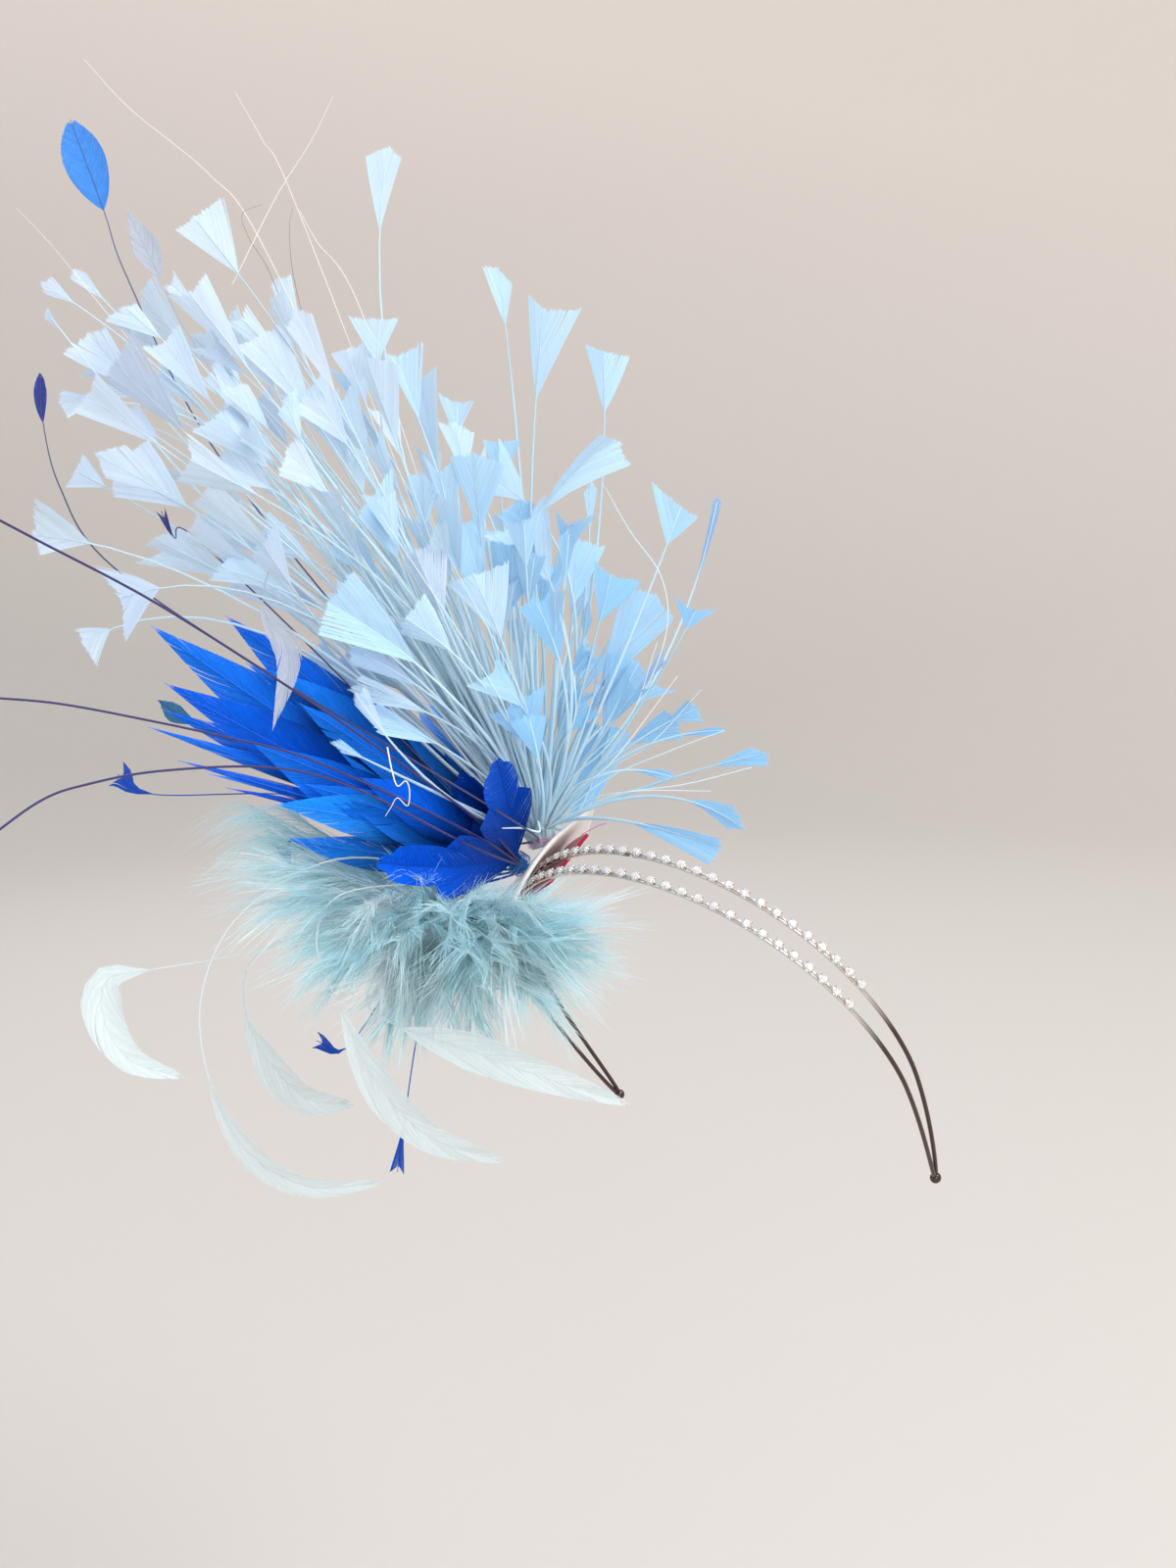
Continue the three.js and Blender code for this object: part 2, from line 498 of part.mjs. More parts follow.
// Single feathers, each a node. line holds across, rise and toward of points on the rachis, root first, and
// web is the number of the point, from 0, where the vane begins
const SINGLES = [
  { name: 'drop_feather_1', colour: 'pale', kind: 'curl', width: 11, roll: -10, web: 3,
    line: [[-45, -8, -12], [-67, -24, 2], [-76, -40, 12], [-66, -48, 20], [-48, -54, 30], [-26, -62, 42],
      [2, -71, 52]] },
  { name: 'drop_feather_2', colour: 'pale', kind: 'curl', width: 11, roll: 10, web: 3,
    line: [[-48, -6, -16], [-82, -8, 4], [-91, -22, 10], [-84, -42, 16], [-74, -63, 20], [-58, -80, 28],
      [-35, -88, 34]] },
  { name: 'drop_feather_3', colour: 'pale', kind: 'curl', width: 8, roll: 15, web: 4,
    line: [[-49, -3, -20], [-84, 2, -4], [-113, -14, 8], [-125, -38, 12], [-123, -63, 14], [-112, -84, 17],
      [-94, -95, 20], [-71, -94, 24]] },
  { name: 'drop_feather_4', colour: 'pale', kind: 'curl', width: 12, roll: -20, web: 3,
    line: [[-50, -4, -24], [-84, -16, -14], [-112, -26, -8], [-140, -31, -4], [-153, -34, 0], [-154, -46, 4],
      [-146, -58, 8], [-130, -63, 10]] },
  { name: 'drop_feather_5', colour: 'pale', kind: 'curl', width: 13, roll: 25, web: 3,
    line: [[-50, -8, -28], [-88, -18, -26], [-110, -28, -24], [-112, -44, -20], [-105, -58, -16],
      [-94, -69, -12], [-80, -71, -8]] },
  { name: 'quill_1', colour: 'quill', kind: 'quill', width: 1, roll: 0, web: 0,
    line: [[-44, 14, 4], [-73, 35, 24], [-101, 54, 42], [-139, 78, 66], [-173, 96, 88], [-192, 106, 100]] },
  { name: 'quill_2', colour: 'quill', kind: 'quill', width: 1, roll: 0, web: 0,
    line: [[-46, 10, 8], [-92, 31, 26], [-118, 38, 38], [-141, 43, 50], [-168, 48, 64], [-192, 50, 76]] },
  { name: 'quill_3', colour: 'quill', kind: 'quill', width: 1, roll: 0, web: 0,
    line: [[-46, 6, 12], [-80, 23, 22], [-105, 29, 30], [-137, 28, 44], [-159, 24, 56], [-173, 19, 64],
      [-191, 6, 76]] },
  { name: 'spade_feather', colour: 'royal', kind: 'spade', width: 13, roll: 5, web: 4,
    line: [[-30, 16, -40], [-80, 70, -34], [-123, 126, -28], [-147, 174, -22], [-154, 194, -18],
      [-164, 221, -14]] },
  { name: 'navy_tip', colour: 'navy', kind: 'spade', width: 4, roll: 0, web: 4,
    line: [[-34, 14, 2], [-110, 60, 0], [-153, 90, 4], [-167, 112, 6], [-172, 131, 6], [-173, 146, 6]] },
  { name: 'teal_tip', colour: 'teal', kind: 'blade', width: 6, roll: 0, web: 2,
    line: [[-44, 8, -34], [-90, 34, -36], [-126, 42, -34], [-138, 49, -34]] },
  { name: 'royal_arrow_1', colour: 'royal', kind: 'fan', width: 9, roll: 0, web: 2,
    line: [[-44, 4, -44], [-90, 20, -46], [-139, 21, -40], [-150, 27, -38]] },
  { name: 'royal_arrow_2', colour: 'royal', kind: 'fan', width: 6, roll: 20, web: 2,
    line: [[-54, -8, -34], [-66, -30, -44], [-82, -54, -44], [-91, -52, -44]] },
  { name: 'royal_arrow_3', colour: 'royal', kind: 'fan', width: 5, roll: 20, web: 2,
    line: [[-52, -12, -30], [-60, -44, -34], [-65, -76, -30], [-67, -91, -28]] },
  { name: 'grey_leaf', colour: 'grey', kind: 'blade', width: 9, roll: 10, web: 3,
    line: [[-36, 18, -6], [-70, 62, 8], [-98, 92, 16], [-107, 78, 18], [-99, 62, 18], [-104, 40, 18]] },
  { name: 'grey_tip', colour: 'grey', kind: 'blade', width: 8, roll: 0, web: 3,
    line: [[-28, 18, -30], [-90, 100, -20], [-128, 156, -14], [-137, 174, -10], [-147, 194, -8]] },
];

function singleFeather({ kind, width, roll, web, line }) {
  const places = line.map((row) => onSight(...row));
  const path = new THREE.CatmullRomCurve3(places);
  const vane = web / (line.length - 1);
  return { path, kind, width, vane, face: rolledFace(places.at(-1).clone().sub(places[web]), roll) };
}

// Each piece can be built at its size and with its clearance added. A later piece cuts its clearance out of
// those that were made before it, and the stub that such a cut frees is left out
const joined = (parts) => parts.reduce((whole, part) => whole.add(part));
const larger = (one, other) => (other.volume() > one.volume() ? other : one);
const largest = (solid) => solid.decompose().reduce(larger);

const plume = (head, feathers) => (grow) => joined([
  headSolid(head, grow), ...feathers.map((row) => feather(row, grow)),
]);

const COLOURS = {
  silver: { color: 0xc8c6c2, roughness: 0.25, metalness: 1 },
  crystal: { color: 0xf4f6fa, roughness: 0.05, metalness: 0 },
  felt: { color: 0xe9e5df, roughness: 0.9, metalness: 0 },
  red: { color: 0xa8123c, roughness: 0.9, metalness: 0 },
  sky: { color: 0xaed4f5, roughness: 0.7, metalness: 0 },
  royal: { color: 0x1236c8, roughness: 0.6, metalness: 0 },
  navy: { color: 0x1b2c74, roughness: 0.6, metalness: 0 },
  teal: { color: 0x2f6f9c, roughness: 0.6, metalness: 0 },
  aqua: { color: 0xbfe3e6, roughness: 0.9, metalness: 0 },
  pale: { color: 0xdcecec, roughness: 0.8, metalness: 0 },
  grey: { color: 0xa9b4cf, roughness: 0.7, metalness: 0 },
  quill: { color: 0x4b4a78, roughness: 0.5, metalness: 0 },
};

function padAndFeathers() {
  const sky = skyFeathers();
  const royal = royalFeathers();
  const pieces = [
    { name: 'sky_plume', colour: 'sky', build: plume(HEADS.sky, sky) },
    { name: 'marabou_puff', colour: 'aqua', build: puffSolid },
    { name: 'royal_plume', colour: 'royal', build: plume(HEADS.royal, royal) },
    ...SINGLES.map((row) => ({
      name: row.name, colour: row.colour, build: (grow) => feather(singleFeather(row), grow),
    })),
    { name: 'base_pad', colour: 'felt', build: basePad },
  ];
  const done = [];
  pieces.forEach(({ name, colour, build }) => {
    const cutter = build(GAP);
    done.forEach((other) => {
      const shared = other.solid.intersect(cutter);
      if (shared.volume() > 0) other.solid = largest(other.solid.subtract(cutter));
    });
    done.push({ name, colour, solid: build(0) });
  });
  return done;
}

const fascinator = new THREE.Group();
[
  { name: 'headband', colour: 'silver', solid: headband() },
  { name: 'crystal_row_front', colour: 'crystal', solid: crystalRow(-1) },
  { name: 'crystal_row_rear', colour: 'crystal', solid: crystalRow(1) },
  { name: 'red_patch', colour: 'red', solid: redPatch() },
  ...padAndFeathers(),
].forEach(({ name, colour, solid }) => {
  const mesh = new THREE.Mesh(geometryOf(solid), new THREE.MeshStandardMaterial(COLOURS[colour]));
  mesh.name = name;
  fascinator.add(mesh);
});

export default fascinator;
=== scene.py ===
# %% [markdown]
# # A feather fascinator on a wire band
# The real ornament is a spray of stripped and cut feathers, a fan of royal blue blades and a puff of marabou
# down. They stand on a small felt pad, and a band of two silver wires with chains of cut stones carries it.
# This lesson dresses the plain solids of the frame. Every feather here is made of real barbs, worked out as
# arrays of numbers and put into a mesh at one go.

import bpy
import numpy as np
from mathutils import Matrix


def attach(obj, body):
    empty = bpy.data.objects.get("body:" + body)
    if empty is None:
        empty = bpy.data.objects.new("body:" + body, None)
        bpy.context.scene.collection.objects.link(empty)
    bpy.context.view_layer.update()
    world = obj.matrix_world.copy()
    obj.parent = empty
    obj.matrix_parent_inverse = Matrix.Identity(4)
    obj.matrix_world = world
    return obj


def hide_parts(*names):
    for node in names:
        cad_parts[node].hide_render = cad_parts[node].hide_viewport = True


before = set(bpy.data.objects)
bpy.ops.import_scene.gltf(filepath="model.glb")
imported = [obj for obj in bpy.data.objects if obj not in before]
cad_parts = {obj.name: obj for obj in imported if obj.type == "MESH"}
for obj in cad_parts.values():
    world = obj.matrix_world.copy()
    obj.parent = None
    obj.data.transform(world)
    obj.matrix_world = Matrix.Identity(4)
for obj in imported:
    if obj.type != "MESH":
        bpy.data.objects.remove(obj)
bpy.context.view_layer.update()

# %% [markdown]
# ## Working in millimetres
# A feather is easier to think about in millimetres, so each shape is worked out in them and scaled once,
# when it becomes a mesh. A few short helpers come first: unit vectors, a colour from its usual hex name, and
# a draw of chance that gives the same numbers in every run, because it is only a sine.

# %% Small helpers
MM = 0.001


def unit(vectors):
    """Each vector divided by its length."""
    return vectors / np.maximum(np.linalg.norm(vectors, axis=-1, keepdims=True), 1e-9)


def paint(name):
    """The linear colour of a hex name: ((c + 0.055) / 1.055) ** 2.4 for each channel c."""
    channels = np.array([int(name[k:k + 2], 16) for k in (0, 2, 4)]) / 255
    return np.where(channels < 0.04045, channels / 12.92, ((channels + 0.055) / 1.055) ** 2.4)


def chance(number, channel):
    """What is left after the point of sin(12.9898 number + 78.233 channel) * 43758.5453."""
    value = np.sin(np.asarray(number, float) * 12.9898 + channel * 78.233) * 43758.5453
    return value - np.floor(value)


def spread(number, channel):
    """Chance from -1 to 1."""
    return 2 * chance(number, channel) - 1


def columns(names, rows):
    """A short table as a dictionary of arrays, one for each named column."""
    return dict(zip(names.split(), np.array(rows, float).T))


def drawn_out(table, first, step):
    """The numbers first + step k + 0, 1 and so on for row k, as many as its count, and each number's row."""
    count = table["count"].astype(int)
    number = np.concatenate([first + step * k + np.arange(n) for k, n in enumerate(count)])
    return number, {key: np.repeat(value, count) for key, value in table.items()}


def wrapped(rows, sides):
    """The corners of a grid that goes round in its second direction, their neighbours, and its quads."""
    k = np.arange(rows * sides).reshape(rows, sides)
    after = np.roll(k, -1, 1)
    return k, after, np.stack([k[:-1], after[:-1], after[1:], k[1:]], -1).reshape(-1, 4)


# %% [markdown]
# ## Nodes in few words
# Every finish is a Principled shader that a few nodes feed. One helper fills the sockets of a node with
# values or links, and another makes a node and fills it, so that a finish reads as a list of what it does.

# %% Node helpers


def new_finish(name):
    """A new material, with its tree of nodes and its shader."""
    finish = bpy.data.materials.new(name)
    finish.use_nodes = True
    return finish, finish.node_tree, finish.node_tree.nodes["Principled BSDF"]


def feed(tree, node, inputs):
    """Gives each named socket a value, or a link from another socket."""
    for key, value in inputs.items():
        if isinstance(value, bpy.types.NodeSocket):
            tree.links.new(value, node.inputs[key])
        else:
            node.inputs[key].default_value = value


def new_node(tree, kind, inputs=None, **settings):
    """A node of one kind, with its settings and its fed sockets."""
    node = tree.nodes.new("ShaderNode" + kind)
    for key, value in settings.items():
        setattr(node, key, value)
    feed(tree, node, inputs or {})
    return node


def object_noise(tree, scale, **more):
    """Noise of one scale in the piece's own Object coordinates."""
    place = new_node(tree, "TexCoord")
    inputs = {"Vector": place.outputs["Object"], "Scale": scale, **more}
    return new_node(tree, "TexNoise", inputs)


# %% [markdown]
# ## The camera
# The viewer stands ahead of the wearer and to their left, a little above the band. The feathers were laid out
# on the plane through the origin that faces this viewer, so the same three axes serve the camera and the
# layout: across, rise, and near, which points at the viewer.

# %% The viewer's axes and the camera
VIEW = {"turn": 41.71, "tilt": 10.36, "roll": -1.62, "distance": 590, "eye_across": -10.5, "eye_rise": 24.1}
LENS = {"lens": 45.7, "sensor_width": 36, "clip_start": 0.01, "clip_end": 20}
turn, tilt, roll = (np.radians(VIEW[key]) for key in ("turn", "tilt", "roll"))
NEAR = np.array([np.sin(turn) * np.cos(tilt), -np.cos(turn) * np.cos(tilt), np.sin(tilt)])
level = np.array([np.cos(turn), np.sin(turn), 0])
upright = np.cross(NEAR, level)
ACROSS = level * np.cos(roll) + upright * np.sin(roll)
RISE = upright * np.cos(roll) - level * np.sin(roll)


def along_axes(across, rise, toward):
    """The point at these distances along the viewer's three axes."""
    return ACROSS * across + RISE * rise + NEAR * toward


def on_sight(across, rise, toward):
    """The point seen at (across, rise) on the viewing plane, slid towards the viewer by toward."""
    given = [np.asarray(value, float)[..., None] for value in (across, rise, toward)]
    across, rise, toward = np.broadcast_arrays(*given)
    scale = (VIEW["distance"] - toward) / VIEW["distance"]
    return along_axes(VIEW["eye_across"] + (across - VIEW["eye_across"]) * scale,
                      VIEW["eye_rise"] + (rise - VIEW["eye_rise"]) * scale, toward)


def standing(side, up, back, place):
    """The matrix of a thing with these three axes, at a place in millimetres."""
    rows = [[*row, p] for row, p in zip(np.array([side, up, back]).T, place * MM)]
    return Matrix(rows + [[0, 0, 0, 1]])


camera_data = bpy.data.cameras.new("viewer")
for setting, value in LENS.items():
    setattr(camera_data, setting, value)
camera = bpy.data.objects.new("viewer", camera_data)
eye = along_axes(VIEW["eye_across"], VIEW["eye_rise"], VIEW["distance"])
camera.matrix_world = standing(ACROSS, RISE, NEAR, eye)
bpy.context.scene.collection.objects.link(camera)
bpy.context.scene.camera = camera

# %% [markdown]
# ## Stage and light
# A round seamless sweep stands in for the studio: a floor that curves up into a low wall on every side, so
# that the pale ground carries on behind the feathers from wherever they are seen. Soft light falls in over
# the wall, and four lamps shape it: three large ones round about and a smaller one ahead of the feathers.
# The paper's colour holds painted light and shade: lighter higher up and to the viewer's right, darker low
# down.

# %% The sweep
SWEEP = {"middle": 1, "floor": -300, "flat": 1500, "cove": 700, "wall": 1450, "sides": 96, "steps": 16}


def sweep_ground():
    """A profile turned round Z: flat to the cove, a quarter circle up, then a straight wall."""
    flat, cove = SWEEP["flat"], SWEEP["cove"]
    bend = np.linspace(0, np.pi / 2, SWEEP["steps"])
    radius = np.concatenate([[SWEEP["middle"]], flat + cove * np.sin(bend), [flat + cove]])
    height = np.concatenate([[0], cove * (1 - np.cos(bend)), [SWEEP["wall"]]]) + SWEEP["floor"]
    angle = np.linspace(0, 2 * np.pi, SWEEP["sides"], endpoint=False)
    grid = np.stack([radius[:, None] * np.cos(angle), radius[:, None] * np.sin(angle),
                     height[:, None] + 0 * angle], -1) * MM
    corners, _, faces = wrapped(*grid.shape[:2])
    mesh = bpy.data.meshes.new("ground")
    mesh.from_pydata(grid.reshape(-1, 3).tolist(), [], faces.tolist() + [corners[0].tolist()[::-1]])
    mesh.shade_smooth()
    return bpy.data.objects.new("ground", mesh)


ground = sweep_ground()
bpy.context.scene.collection.objects.link(ground)

# %% The paper
# the ramp paints light and shade into the paper: darker on the floor, lighter up the wall and to the viewer's
# right
PAINTED_LIGHT_PAPER = {"low": "CBC8C6", "high": "F0E9E4", "from": -0.3, "to": 0.6, "slant": 0.25}
paper_with_painted_light, tree, shader = new_finish("paper_with_painted_light")
where = new_node(tree, "TexCoord")
painted_light_slope = np.array([0, 0, 1]) + PAINTED_LIGHT_PAPER["slant"] * ACROSS
height = new_node(tree, "VectorMath", {0: where.outputs["Object"], 1: painted_light_slope}, operation="DOT_PRODUCT")
reach = new_node(tree, "MapRange", {"Value": height.outputs["Value"], "From Min": PAINTED_LIGHT_PAPER["from"],
                                    "From Max": PAINTED_LIGHT_PAPER["to"]})
ramp = new_node(tree, "ValToRGB", {0: reach.outputs[0]})
for stop, end in zip(ramp.color_ramp.elements, ("low", "high")):
    stop.color = (*paint(PAINTED_LIGHT_PAPER[end]), 1)
feed(tree, shader, {"Base Color": ramp.outputs[0], "Roughness": 0.9, "Specular IOR Level": 0.1})
ground.data.materials.append(paper_with_painted_light)

# %% The lamps
world = bpy.data.worlds.new("studio")
world.use_nodes = True
feed(world.node_tree, world.node_tree.nodes["Background"], {"Color": (1, 0.99, 0.98, 1), "Strength": 0.88})
bpy.context.scene.world = world
bpy.context.scene.view_settings.view_transform = "Standard"

# name, place and aim (across, rise, toward in millimetres), size in metres, power in watts, colour
ORIGIN = (0, 0, 0)
LAMPS = [
    ("key", (700, 1000, 500), ORIGIN, 0.9, 10, (1, 0.98, 0.95)),
    ("fill", (-1100, 300, 600), ORIGIN, 1.4, 3, (0.93, 0.96, 1)),
    ("back", (-300, 900, -1000), ORIGIN, 1.2, 4, (1, 1, 1)),
    ("bounce", (150, 60, 900), (-60, -30, 0), 0.5, 2.5, (1, 1, 1)),
]
for name, place, aim, size, power, colour in LAMPS:
    data = bpy.data.lights.new(name, "AREA")
    data.shape, data.size, data.energy, data.color = "DISK", size, power, colour
    lamp = bpy.data.objects.new(name, data)
    place = along_axes(*place)
    back = unit(place - along_axes(*aim))
    side = unit(np.cross((0, 0, 1), back))
    lamp.matrix_world = standing(side, np.cross(back, side), back, place)
    lamp.visible_camera = False
    bpy.context.scene.collection.objects.link(lamp)

# %% [markdown]
# ## From arrays to a mesh
# Every piece is gathered from parts: corners, faces with three or four corners, a tint for each corner and a
# place along and across the fibre, which the finishes use for their streaks. One function puts the parts into
# a mesh, and two more make the parts themselves: closed ribbons, which become barbs, and round rods.

# %% Parts into a piece


def part(points, quads, tris, tint, fibre, smooth=False):
    """One batch of geometry, its corners in millimetres."""
    return {"points": points, "quads": quads.astype(int), "tris": tris.astype(int),
            "tint": np.broadcast_to(tint, points.shape), "fibre": np.broadcast_to(fibre, points.shape),
            "smooth": smooth}


def piece(name, parts, finish, stands_for=()):
    """Joins parts into one mesh object at the origin, which rides on the root body."""
    starts = np.cumsum([0] + [len(p["points"]) for p in parts])
    points, tint, fibre = (np.concatenate([p[key] for p in parts]) for key in ("points", "tint", "fibre"))
    quads, tris = (np.concatenate([p[key].reshape(-1, corners) + s for p, s in zip(parts, starts)])
                   for key, corners in (("quads", 4), ("tris", 3)))
    smooth = np.concatenate([np.full(len(p[key]), p["smooth"]) for key in ("quads", "tris") for p in parts])
    mesh = bpy.data.meshes.new(name)
    mesh.vertices.add(len(points))
    mesh.vertices.foreach_set("co", (points * MM).astype(np.float32).ravel())
    loops = np.concatenate([quads.ravel(), tris.ravel()])
    mesh.loops.add(len(loops))
    mesh.loops.foreach_set("vertex_index", loops.astype(np.int32))
    mesh.polygons.add(len(quads) + len(tris))
    loop_start = np.concatenate([4 * np.arange(len(quads)), 4 * len(quads) + 3 * np.arange(len(tris))])
    mesh.polygons.foreach_set("loop_start", loop_start.astype(np.int32))
    mesh.update(calc_edges=True)
    mesh.polygons.foreach_set("use_smooth", smooth)
    rgba = np.c_[tint, np.ones(len(tint))]
    for key, kind, field, values in (("tint", "FLOAT_COLOR", "color", rgba),
                                     ("fibre", "FLOAT_VECTOR", "vector", fibre)):
        layer = mesh.attributes.new(key, kind, "POINT")
        layer.data.foreach_set(field, values.astype(np.float32).ravel())
    mesh.materials.append(finish)
    obj = bpy.data.objects.new(name, mesh)
    bpy.context.scene.collection.objects.link(obj)
    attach(obj, "root")
    if stands_for:
        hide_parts(*stands_for)
    print(name, "triangles:", 2 * len(quads) + len(tris))


def repeated(points, quads, tris, tint, fibre, smooth=False):
    """The same faces on each of many bodies, whose corners are points (bodies, corners, 3)."""
    shift = points.shape[1] * np.arange(len(points))[:, None, None]
    return part(points.reshape(-1, 3), (quads + shift).reshape(-1, 4), (tris + shift).reshape(-1, 3),
                tint.reshape(-1, 3), fibre.reshape(-1, 3), smooth)


def tube_faces(rows, sides):
    """The faces of rings joined into a tube. Two more corners, the foot and the top, close its ends."""
    k, after, quads = wrapped(rows, sides)
    foot, top = rows * sides, rows * sides + 1
    tris = np.concatenate([np.stack([after[0], k[0], 0 * k[0] + foot], -1),
                           np.stack([k[-1], after[-1], 0 * k[-1] + top], -1)])
    return quads, tris


# %% Closed ribbons


def ribbons(left, right, lift, ridge, tip, tint, fibre_row):
    """Thin closed strips. left, right and lift are (strips, steps, 3), ridge is (strips, steps) and tip is
    (strips, 3). A section has the corners left, right and middle = (left + right) / 2 + lift * ridge, and the
    last section is drawn to the tip. tint is (strips, steps + 1, 3)."""
    middle = (left + right) / 2 + lift * ridge[..., None]
    heading = tip - left[:, 0]
    turned = (np.cross(right[:, 0] - left[:, 0], lift[:, 0]) * heading).sum(-1) < 0
    first = np.where(turned[:, None, None], right, left)
    second = np.where(turned[:, None, None], left, right)
    count, steps = left.shape[:2]
    corners = np.stack([first, second, middle], 2).reshape(count, steps * 3, 3)
    points = np.concatenate([corners, tip[:, None]], 1)
    k, after, quads = wrapped(steps, 3)
    tris = np.concatenate([[[0, 2, 1]], np.stack([k[-1], after[-1], 0 * k[-1] + 3 * steps], -1)])
    shade = np.concatenate([np.repeat(tint[:, :-1], 3, axis=1), tint[:, -1:]], 1)
    along = np.append(np.repeat(np.linspace(0, 1, steps), 3), 1.05)
    across = np.append(np.tile([0, 1, 0.5], steps), 0.5)
    fibre = np.stack(np.broadcast_arrays(fibre_row[:, None] + across, along, fibre_row[:, None] * 0.37), -1)
    return repeated(points, quads, tris, shade, fibre)


# %% Round rods


def rods(paths, radius, tint, sides=6):
    """Closed round rods along paths (rods, steps, 3): rings of radius (rods, steps) square to the path."""
    along = unit(np.gradient(paths, axis=1))
    guide = np.where(np.abs(along[:, :1, 2:]) > 0.9, [[[1.0, 0, 0]]], [[[0, 0, 1.0]]])
    side = unit(np.cross(along, guide))
    up = np.cross(side, along)
    count, steps = paths.shape[:2]
    angle = np.linspace(0, 2 * np.pi, sides, endpoint=False)[:, None]
    ring = side[:, :, None] * np.cos(angle) - up[:, :, None] * np.sin(angle)
    points = paths[:, :, None] + ring * radius[:, :, None, None]
    ends = np.stack([paths[:, 0] - along[:, 0] * radius[:, :1] * 0.4,
                     paths[:, -1] + along[:, -1] * radius[:, -1:] * 0.4], 1)
    points = np.concatenate([points.reshape(count, -1, 3), ends], 1)
    tint = np.broadcast_to(tint, (count, steps, 3))
    shade = np.concatenate([np.repeat(tint, sides, axis=1), tint[:, :1], tint[:, -1:]], 1)
    fibre = np.zeros((count, points.shape[1], 3))
    fibre[:, :-2, 0] = np.tile(np.arange(sides) / sides, steps) + 7.7 * np.arange(count)[:, None]
    fibre[:, :-2, 1] = np.repeat(np.linspace(0, 1, steps), sides)
    return repeated(points, *tube_faces(steps, sides), shade, fibre, smooth=True)


# %% [markdown]
# ## What a feather is
# A feather has a stem, the rachis, that tapers from its root to its tip, and two rows of barbs that leave it
# at a slant and lie side by side like the teeth of a comb. A hatter strips the lower barbs off and cuts the
# rest to shape. So a fan here is a set of barbs that run parallel to the lowest one and stop at the cut, and
# a leaf is a set of barbs that stop at a curved outline. Now and then two neighbours part, and a clump of
# barbs shifts a little: those splits are what makes a vane look like a feather and not like paper.

# %% The rachis


def bent(root, control, tip, samples=40):
    """(1 - t)^2 root + 2 t (1 - t) control + t^2 tip for each feather, t in even steps."""
    t = np.linspace(0, 1, samples)[:, None]
    return (1 - t) ** 2 * root[:, None] + 2 * t * (1 - t) * control[:, None] + t ** 2 * tip[:, None]


def through(places, samples=64):
    """A smooth curve through a list of points: cubic pieces whose slope at a point is half the step from the
    point before it to the point after it, with an even number of samples between points."""
    places = np.asarray(places, float)
    slopes = np.gradient(places, axis=0)
    t = np.linspace(0, len(places) - 1, samples)
    k = np.minimum(t.astype(int), len(places) - 2)
    s = (t - k)[:, None]
    return ((2 * s ** 3 - 3 * s ** 2 + 1) * places[k] + (s ** 3 - 2 * s ** 2 + s) * slopes[k]
            + (3 * s ** 2 - 2 * s ** 3) * places[k + 1] + (s ** 3 - s ** 2) * slopes[k + 1])


def rolled_face(along, roll):
    """The way a vane faces: towards the viewer, square to along, then rolled about it in degrees."""
    along = unit(along)
    side = unit(np.cross(along, NEAR))
    up = np.cross(side, along)
    angle = np.radians(np.asarray(roll, float))[..., None]
    return up * np.cos(angle) + np.cross(along, up) * np.sin(angle)


def at(field, share):
    """The value of a sampled field (feathers, samples, 3) at shares (feathers, ...), straight past its
    end."""
    samples = field.shape[1]
    place = share * (samples - 1)
    k = np.clip(np.floor(place), 0, samples - 2).astype(int)
    rest = (place - k)[..., None]
    which = np.arange(len(field)).reshape(-1, *[1] * (share.ndim - 1))
    return field[which, k] * (1 - rest) + field[which, k + 1] * rest


# %% The vane
# the outline of each kind of leaf: its half width at the share x of its length
LEAF = {
    "torn": lambda x: (np.minimum(1.9 * x ** 0.8, 1) * np.clip(1.4 * (1 - x), 0, 1) ** 0.5
                       * (1 - 0.42 * (1 - (3.3 * x) % 1))),
    "blade": lambda x: np.sin(np.pi * np.clip(x, 0, 1) ** 0.8) ** 1.05,
    "spade": lambda x: np.sin(np.pi * np.clip(x, 0, 1) ** 1.25) ** 0.7,
    "curl": lambda x: np.sin(np.pi * np.clip(x, 0, 1) ** 0.7) ** 0.6,
}


